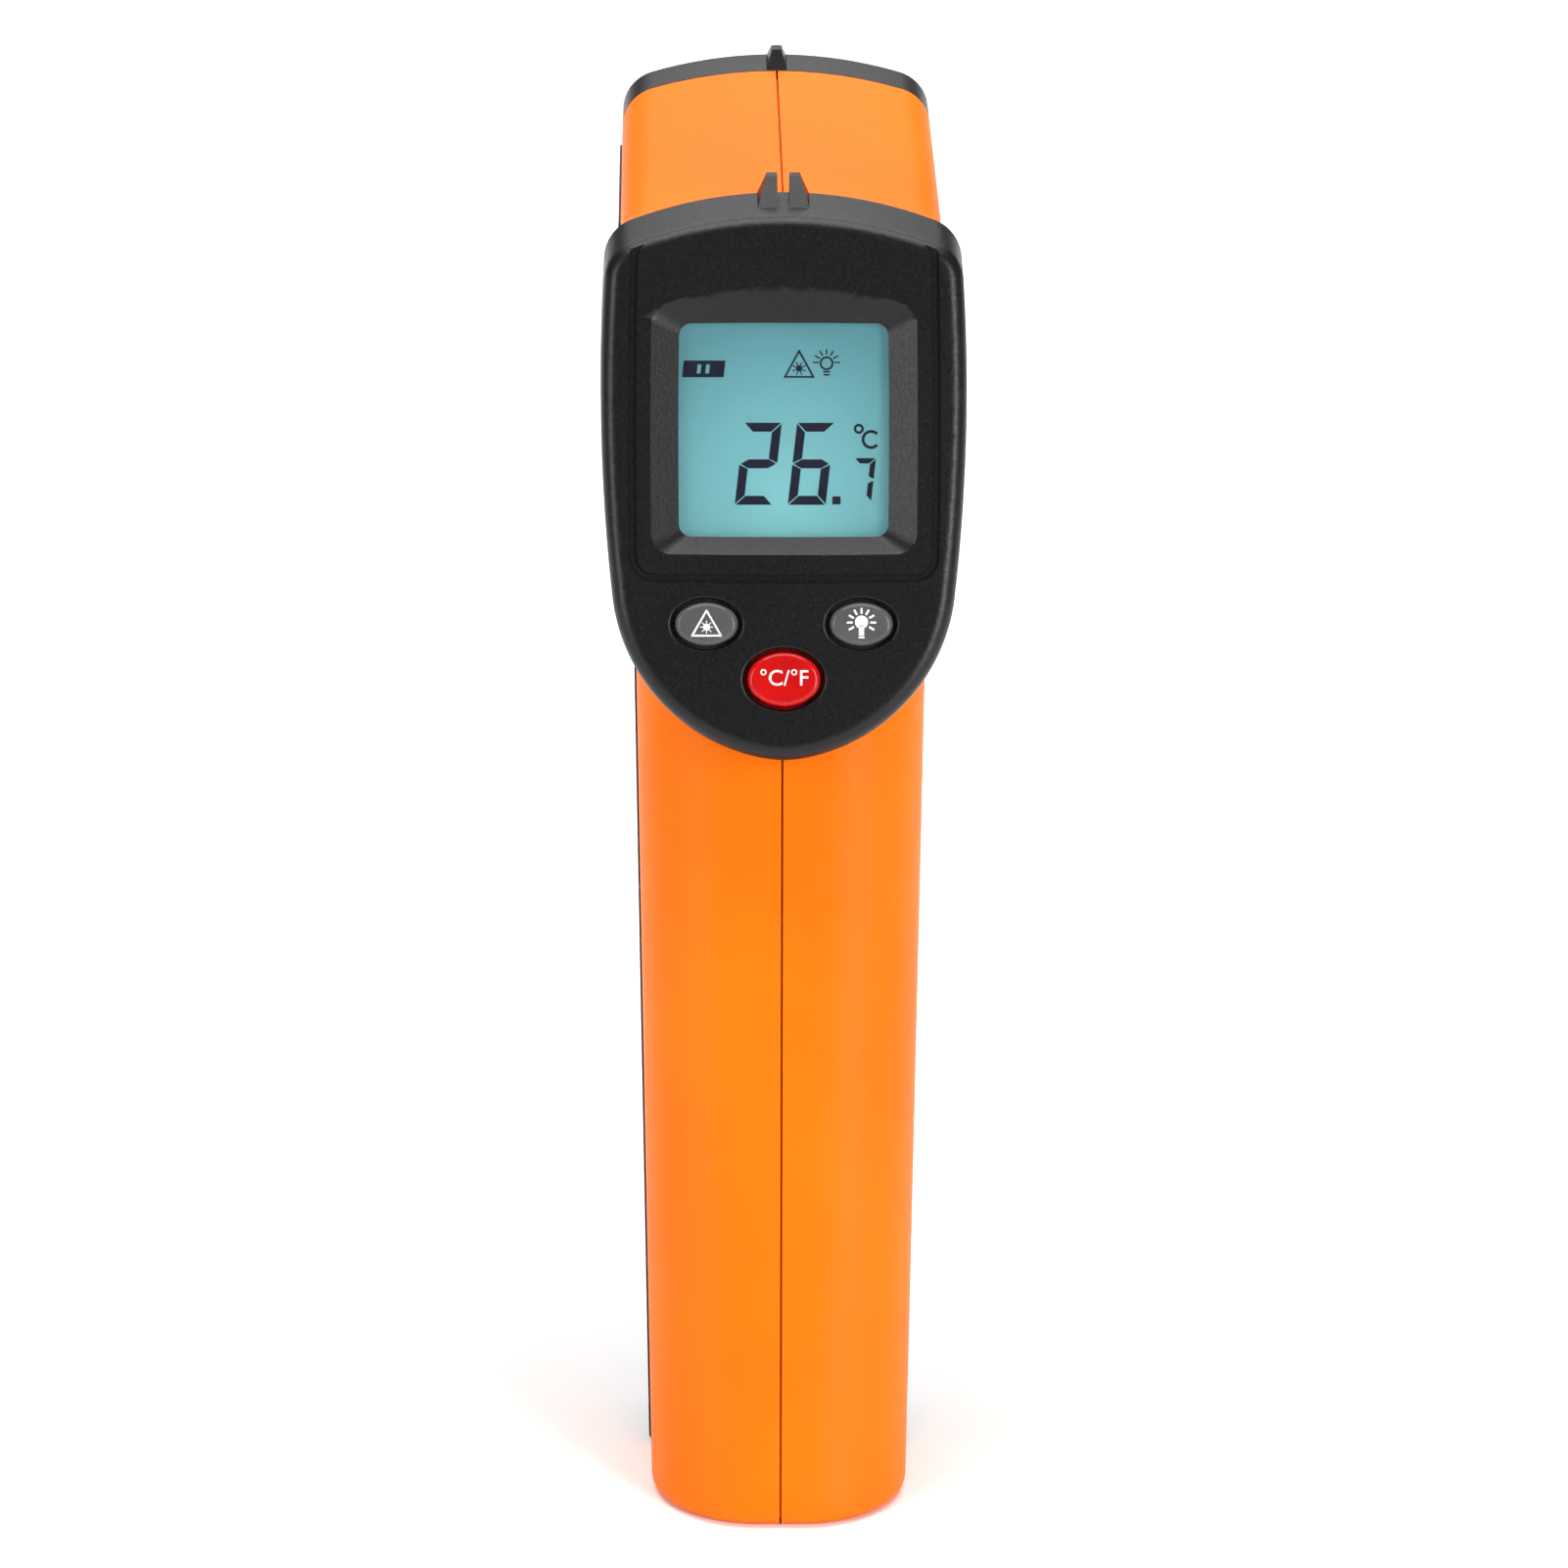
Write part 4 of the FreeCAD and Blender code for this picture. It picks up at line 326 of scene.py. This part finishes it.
def lettering(name, words, size_mm, x, y, height_mm, thick_mm, material, body):
    """Printed signs from the plain built-in font, made a mesh before they are placed."""
    curve = bpy.data.curves.new(name, "FONT")
    curve.body = words
    curve.size = size_mm * MM
    curve.extrude = thick_mm * MM / 2
    curve.align_x = "CENTER"
    curve.align_y = "CENTER"
    curve.offset = 0.01 * MM
    stand_in = bpy.data.objects.new(name + "_text", curve)
    bpy.context.scene.collection.objects.link(stand_in)
    bpy.context.view_layer.update()
    mesh = bpy.data.meshes.new_from_object(stand_in)
    bpy.data.objects.remove(stand_in)
    mesh.transform(on_face(height_mm) @ Matrix.Translation((x * MM, y * MM, thick_mm * MM / 2)))
    mesh.materials.clear()
    mesh.materials.append(material)
    piece = bpy.data.objects.new(name, mesh)
    bpy.context.scene.collection.objects.link(piece)
    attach(piece, body)
    return piece


white_ink, ink_surface = new_material("white_ink", IOR=1.48)
grained(white_ink, ink_surface, ("#E6E6E4", "#F2F2F0"), 0.4, 0.002, (0.35, 0.45), mottle_mm=3)
INK = 0.02  # mm thick
PAIR_X = 9.1  # mm from the middle of the face to the two grey keys
PAIR_Y = -22.7
UNIT_Y = -29.1

beam_icon = bmesh.new()
SPOT_Y = PAIR_Y - 0.35
beam_corners = [(-1.7 - PAIR_X, -1.35 + PAIR_Y), (1.7 - PAIR_X, -1.35 + PAIR_Y), (-PAIR_X, 1.6 + PAIR_Y)]
flat_triangle(beam_icon, beam_corners, 0.22, INK)
flat_disc(beam_icon, -PAIR_X, SPOT_Y, 0.42, INK)
flat_rays(beam_icon, -PAIR_X, SPOT_Y, 0.4, 0.72, 0.1, INK, range(0, 360, 45))
film("beam_icon", beam_icon, KEY_TOP, white_ink, "laser_key")

bulb_icon = bmesh.new()
flat_disc(bulb_icon, PAIR_X, PAIR_Y + 0.25, 0.78, INK)
flat_line(bulb_icon, PAIR_X, PAIR_Y - 0.4, PAIR_X, PAIR_Y - 1.05, 0.62, INK)
flat_line(bulb_icon, PAIR_X - 0.25, PAIR_Y - 1.55, PAIR_X + 0.25, PAIR_Y - 1.55, 0.2, INK)
flat_rays(bulb_icon, PAIR_X, PAIR_Y + 0.2, 1.15, 1.6, 0.24, INK, range(-30, 240, 30))
film("bulb_icon", bulb_icon, KEY_TOP, white_ink, "light_key")

lettering("unit_signs", "°C/°F", 2.6, 0, UNIT_Y, KEY_TOP, INK, white_ink, "unit_key")

# ---------------------------------------------------------------------------------------------
# Display: a liquid crystal cell with a blue-green light behind it, under a clear acrylic window.
# The light is a little stronger in the middle and towards the lower edge.
# ---------------------------------------------------------------------------------------------
lcd_glass, lcd_surface = new_material("lit_liquid_crystal", IOR=1.5, Roughness=0.3)
lcd_place = add_node(lcd_glass, "ShaderNodeTexCoord")
lcd_centre = add_node(
    lcd_glass,
    "ShaderNodeMapping",
    {"Location": (0, -FACE_Y, -FACE_Z + 8.5 * MM)},
    {"Vector": (lcd_place, "Object")},
)
lcd_spread = add_node(
    lcd_glass,
    "ShaderNodeMapping",
    {"Scale": (1 / (19 * MM), 1 / (40 * MM), 1 / (19 * MM))},
    {"Vector": (lcd_centre, "Vector")},
)
lcd_ball = add_node(
    lcd_glass, "ShaderNodeTexGradient", {"gradient_type": "SPHERICAL"}, {"Vector": (lcd_spread, "Vector")}
)
lcd_shade = add_node(lcd_glass, "ShaderNodeValToRGB", {}, {"Fac": (lcd_ball, "Fac")})
lcd_shade.color_ramp.elements[0].color = linear("#6BA5AE")
lcd_shade.color_ramp.elements[1].color = linear("#93D5D9")
for socket in ("Base Color", "Emission Color"):
    lcd_glass.node_tree.links.new(lcd_shade.outputs["Color"], lcd_surface.inputs[socket])
lcd_surface.inputs["Emission Strength"].default_value = 0.35
dressed("lcd_panel", lcd_glass, "housing")

dark_crystal, dark_surface = new_material("dark_segment", IOR=1.5, Roughness=0.35)
grained(dark_crystal, dark_surface, ("#13132E", "#181838"), 0.3, 0.001, (0.32, 0.4), mottle_mm=6)
PLATE = 2.4  # mm from the face to the back of the bezel's plate, where the window starts
WINDOW = 1.0  # mm thick
FILM = 0.02  # mm thick
LCD_TOP = -(PLATE + WINDOW) + 0.004  # mm from the face to the front of the cell
SLANT = math.tan(math.radians(6.5))


def leaning(points, foot):
    """Shears an outline to the right above its foot, as display digits lean."""
    return [(x + (y - foot) * SLANT, y) for x, y in points]


def digit(bm, segments, left, foot, wide, tall, bar):
    """A seven-bar digit.

    The bars are a top, b upper right, c lower right, d foot, e lower left, f upper left, g middle.
    """
    gap, half = 0.1, bar / 2
    right, top, middle = left + wide, foot + tall, foot + tall / 2
    in_left, in_right = left + bar, right - bar
    under_top, over_foot = top - bar, foot + bar
    upper, lower = middle + half + gap, middle - half - gap
    bars = {
        "a": [(left + gap, top), (right - gap, top), (in_right - gap, under_top), (in_left + gap, under_top)],
        "b": [(right, top - gap), (right, middle + gap), (in_right, upper), (in_right, under_top - gap)],
        "c": [(right, middle - gap), (right, foot + gap), (in_right, over_foot + gap), (in_right, lower)],
        "d": [
            (in_left + gap, over_foot),
            (in_right - gap, over_foot),
            (right - gap, foot),
            (left + gap, foot),
        ],
        "e": [(left, middle - gap), (in_left, lower), (in_left, over_foot + gap), (left, foot + gap)],
        "f": [(left, top - gap), (in_left, under_top - gap), (in_left, upper), (left, middle + gap)],
        "g": [
            (left + 1.5 * gap, middle),
            (in_left, middle - half),
            (in_right, middle - half),
            (right - 1.5 * gap, middle),
            (in_right, middle + half),
            (in_left, middle + half),
        ],
    }
    for name in segments:
        flat_shape(bm, leaning(bars[name], foot), FILM)


reading = bmesh.new()
BIG = {"foot": -8.7, "wide": 4.45, "tall": 9.65, "bar": 1.05}
SMALL = {"foot": -8.3, "wide": 2.55, "tall": 5.1, "bar": 0.62}
digit(reading, "abged", -5.75, **BIG)
digit(reading, "acdefg", 0.5, **BIG)
flat_shape(reading, [(5.75, -8.65), (6.7, -8.65), (6.7, -7.7), (5.75, -7.7)], FILM)
digit(reading, "abc", 7.75, **SMALL)
flat_ring(reading, 8.85, 0.25, 0.6, 0.3, FILM, steps=20)
flat_ring(reading, 10.3, -1.0, 1.12, 0.78, FILM, start=42, sweep=276, steps=20)
film("reading", reading, LCD_TOP, dark_crystal, "housing")

signs = bmesh.new()
SIGN_Y = 7.3  # mm above the middle of the face
hold_box = [(-11.85, 6.3), (-6.95, 6.3), (-6.95, 8.25), (-11.85, 8.25)]
flat_shape(signs, leaning(hold_box, SIGN_Y), FILM)
BEAM_X = 1.82
BEAM_Y = 7.35
flat_triangle(signs, [(0.15, 6.35), (3.5, 6.35), (BEAM_X, 9.4)], 0.21, FILM)
flat_disc(signs, BEAM_X, BEAM_Y, 0.36, FILM)
flat_rays(signs, BEAM_X, BEAM_Y, 0.3, 0.78, 0.13, FILM, [22.5 + 45 * turn for turn in range(8)])
BULB_X = 5.05
flat_ring(signs, BULB_X, 7.95, 0.82, 0.6, FILM, steps=20)
flat_line(signs, BULB_X - 0.3, 6.95, BULB_X + 0.3, 6.95, 0.2, FILM)
flat_line(signs, BULB_X - 0.25, 6.6, BULB_X + 0.25, 6.6, 0.2, FILM)
flat_rays(signs, BULB_X, 8.05, 1.0, 1.5, 0.17, FILM, range(0, 210, 30))
film("signs", signs, LCD_TOP, dark_crystal, "housing")

# The hold sign's two bars are bare crystal inside the dark box.
hold_bars = bmesh.new()
for x in (-9.95, -8.95):
    bar = [(x - 0.22, 6.75), (x + 0.22, 6.75), (x + 0.22, 7.8), (x - 0.22, 7.8)]
    flat_shape(hold_bars, leaning(bar, SIGN_Y), FILM / 2)
film("hold_bars", hold_bars, LCD_TOP + FILM, lcd_glass, "housing")

clear_acrylic, _ = new_material(
    "clear_acrylic", IOR=1.49, Roughness=0.03, Transmission_Weight=1.0, Base_Color=linear("#F4FBFB")
)
dressed("display_window", clear_acrylic, "housing")

# ---------------------------------------------------------------------------------------------
# Optics: a milky polyethylene lens in a black barrel behind the larger mouth, held by a ring,
# and the turned brass module of the aiming beam with its small glass below it.
# ---------------------------------------------------------------------------------------------
OPTIC_Z = 133.5 * MM  # height of the sensor's axis
milky_lens, milky_surface = new_material(
    "milky_polyethylene", IOR=1.52, Roughness=0.22, Transmission_Weight=0.35, Base_Color=linear("#DDE0DE")
)
lens_place = add_node(milky_lens, "ShaderNodeTexCoord")
lens_centre = add_node(
    milky_lens, "ShaderNodeMapping", {"Location": (0, 0, -OPTIC_Z)}, {"Vector": (lens_place, "Object")}
)
lens_rings = add_node(
    milky_lens,
    "ShaderNodeTexWave",
    {"wave_type": "RINGS", "rings_direction": "Y", "Scale": 1 / (4.0 * MM), "Distortion": 0.0},
    {"Vector": (lens_centre, "Vector")},
)
lens_relief = add_node(
    milky_lens, "ShaderNodeBump", {"Distance": 0.05 * MM, "Strength": 0.5}, {"Height": (lens_rings, "Fac")}
)
milky_lens.node_tree.links.new(lens_relief.outputs["Normal"], milky_surface.inputs["Normal"])
dressed("sensor_lens", milky_lens, "housing")
inner_abs, inner_surface = new_material("plain_black_abs", IOR=1.52)
grained(inner_abs, inner_surface, ("#121213", "#18181A"), 0.4, 0.01, (0.45, 0.55), mottle_mm=12)
dressed("lens_ring", cap_abs, "housing")
for node in ("sensor_barrel", "buzzer", "key_switches", "trigger_switch", "battery_tray"):
    dressed(node, inner_abs, "housing")
turned_brass, brass_surface = new_material("turned_brass", Metallic=1.0)
grained(turned_brass, brass_surface, ("#C29A4C", "#CDA65A"), 0.25, 0.004, (0.24, 0.34), mottle_mm=6)
dressed("laser_module", turned_brass, "housing")
red_glass, _ = new_material(
    "tinted_glass", IOR=1.5, Roughness=0.02, Transmission_Weight=0.8, Base_Color=linear("#B04A4A")
)
dressed("laser_lens", red_glass, "housing")
drawn_can, can_surface = new_material("drawn_can", Metallic=1.0)
grained(drawn_can, can_surface, ("#B9B9BC", "#C6C6C8"), 0.3, 0.003, (0.28, 0.36), mottle_mm=5)
dressed("thermopile_can", drawn_can, "housing")

# ---------------------------------------------------------------------------------------------
# Circuit boards: glass-fibre laminate under a green solder mask, with black chip packages.
# ---------------------------------------------------------------------------------------------
solder_mask, mask_surface = new_material("solder_mask", IOR=1.5, Coat_Weight=0.4, Coat_Roughness=0.15)
grained(solder_mask, mask_surface, ("#0C4A24", "#11572C"), 0.6, 0.006, (0.3, 0.4), mottle_mm=3)
for node in ("main_board", "trigger_board", "sensor_board"):
    dressed(node, solder_mask, "housing")
chip_epoxy, chip_surface = new_material("chip_epoxy", IOR=1.55)
grained(chip_epoxy, chip_surface, ("#161617", "#1E1E20"), 0.2, 0.004, (0.5, 0.6), mottle_mm=3)
dressed("board_chips", chip_epoxy, "housing")
light_guide, guide_surface = new_material("milky_light_guide", IOR=1.49)
grained(light_guide, guide_surface, ("#D5ECEE", "#E2F5F6"), 0.5, 0.002, (0.3, 0.4), mottle_mm=8)
dressed("backlight_panel", light_guide, "housing")
contact_rubber, contact_surface = new_material("contact_rubber", IOR=1.45)
grained(contact_rubber, contact_surface, ("#C08A86", "#CF9A95"), 0.3, 0.004, (0.5, 0.6), mottle_mm=2)
dressed("zebra_strip", contact_rubber, "housing")
white_nylon, nylon_surface = new_material("white_nylon", IOR=1.53)
grained(white_nylon, nylon_surface, ("#D9D9D5", "#E4E4E0"), 0.4, 0.003, (0.38, 0.48), mottle_mm=5)
for node, body in (
    ("laser_key_plunger", "laser_key"),
    ("light_key_plunger", "light_key"),
    ("unit_key_plunger", "unit_key"),
    ("trigger_plunger", "trigger_plunger"),
):
    dressed(node, white_nylon, body)

# ---------------------------------------------------------------------------------------------
# Steel parts: zinc-plated screws and ground pins, and nickel-plated springs and contacts.
# ---------------------------------------------------------------------------------------------
zinc_steel, zinc_surface = new_material("zinc_plated_steel", Metallic=1.0)
grained(zinc_steel, zinc_surface, ("#A3A4A6", "#B1B2B4"), 0.2, 0.003, (0.26, 0.38), mottle_mm=4)
for node in ("housing_screws", "board_screws", "trigger_pin", "door_hinge_pin"):
    dressed(node, zinc_steel, "housing")
nickel, nickel_surface = new_material("nickel_plate", Metallic=1.0)
grained(nickel, nickel_surface, ("#C3BEB2", "#D0CCC0"), 0.3, 0.002, (0.16, 0.24), mottle_mm=5)
for node in ("battery_springs", "battery_contacts", "battery_link"):
    dressed(node, nickel, "housing")
return_spring = dressed("trigger_spring", nickel, "housing")
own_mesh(return_spring)

# ---------------------------------------------------------------------------------------------
# Cells: two plain AAA cells in a dark, glossy shrink wrap, side by side in the grip.
# ---------------------------------------------------------------------------------------------
cell_wrap, wrap_surface = new_material("shrink_wrap", IOR=1.5, Coat_Weight=0.6, Coat_Roughness=0.1)
grained(cell_wrap, wrap_surface, ("#22262B", "#2B3036"), 0.8, 0.002, (0.25, 0.33), mottle_mm=10)
for node in ("left_cell", "right_cell"):
    dressed(node, cell_wrap, "housing")

# ---------------------------------------------------------------------------------------------
# Leads: stranded wire in soft coloured insulation.
# ---------------------------------------------------------------------------------------------
for node, name, shades, slot_name in (
    ("positive_lead", "red_insulation", ("#A81414", "#B81A1A"), "red_lead"),
    ("negative_lead", "black_insulation", ("#141415", "#1B1B1C"), "black_lead"),
    ("trigger_leads", "blue_insulation", ("#17337E", "#1D3C8E"), "blue_lead"),
    ("laser_leads", "red_insulation_thin", ("#A81414", "#B81A1A"), "red_lead"),
    ("sensor_leads", "blue_insulation_thin", ("#17337E", "#1D3C8E"), "blue_lead"),
):
    insulation, insulation_surface = new_material(name, IOR=1.5)
    grained(insulation, insulation_surface, shades, 0.4, 0.003, (0.35, 0.45), mottle_mm=4)
    dressed(node, insulation, "housing")

# ---------------------------------------------------------------------------------------------
# Studio: a pale flat floor under the instrument, large soft lights, and the camera.
# ---------------------------------------------------------------------------------------------
sweep_paint, sweep_surface = new_material("matt_white_paint", Roughness=0.9, Base_Color=linear("#FFFFFF"))
sweep_grain = add_node(sweep_paint, "ShaderNodeTexNoise", {"Scale": 400.0, "Detail": 2.0})
sweep_relief = add_node(
    sweep_paint, "ShaderNodeBump", {"Distance": 0.05 * MM, "Strength": 0.2}, {"Height": (sweep_grain, "Fac")}
)
sweep_paint.node_tree.links.new(sweep_relief.outputs["Normal"], sweep_surface.inputs["Normal"])
sweep = bmesh.new()
bmesh.ops.create_grid(sweep, x_segments=1, y_segments=1, size=3.0)
sweep_mesh = bpy.data.meshes.new("floor")
sweep.to_mesh(sweep_mesh)
sweep.free()
sweep_mesh.materials.append(sweep_paint)
floor = bpy.data.objects.new("floor", sweep_mesh)
bpy.context.scene.collection.objects.link(floor)

world = bpy.data.worlds.new("studio")
bpy.context.scene.world = world
world.use_nodes = True
world.node_tree.nodes["Background"].inputs["Color"].default_value = (1, 1, 1, 1)
world.node_tree.nodes["Background"].inputs["Strength"].default_value = 0.12


def softbox(name, place, target, wide, tall, watts):
    light = bpy.data.lights.new(name, "AREA")
    light.shape = "RECTANGLE"
    light.size = wide
    light.size_y = tall
    light.energy = watts
    lamp = bpy.data.objects.new(name, light)
    lamp.location = place
    lamp.rotation_euler = (Vector(target) - Vector(place)).to_track_quat("-Z", "Y").to_euler()
    bpy.context.scene.collection.objects.link(lamp)
    return lamp


softbox("front_left_light", (-1.0, -0.75, 0.55), (0, 0, 0.08), 0.4, 0.9, 7.5)
softbox("front_right_light", (0.85, -0.95, 0.5), (0, 0, 0.08), 0.4, 0.9, 12.0)
softbox("top_light", (0.0, 0.25, 1.2), (0, 0.05, 0.0), 1.2, 0.9, 17.5)
softbox("back_light", (0.0, 1.3, 0.9), (0, 0.2, 0.0), 1.4, 0.6, 6.0)

scene = bpy.context.scene
scene.view_settings.view_transform = "Standard"
scene.view_settings.look = "None"
lens = bpy.data.cameras.new("camera")
lens.lens = 273.8
lens.sensor_width = 36.0
lens.clip_end = 20
camera = bpy.data.objects.new("camera", lens)
camera.location = (-0.027, -1.3167, 0.6501)
aim = Vector((0, -0.0338, 0.0896))
roll = Matrix.Rotation(math.radians(0.5), 4, "Z")
facing = (aim - camera.location).to_track_quat("-Z", "Y").to_matrix().to_4x4()
camera.rotation_euler = (facing @ roll).to_euler()
scene.collection.objects.link(camera)
scene.camera = camera
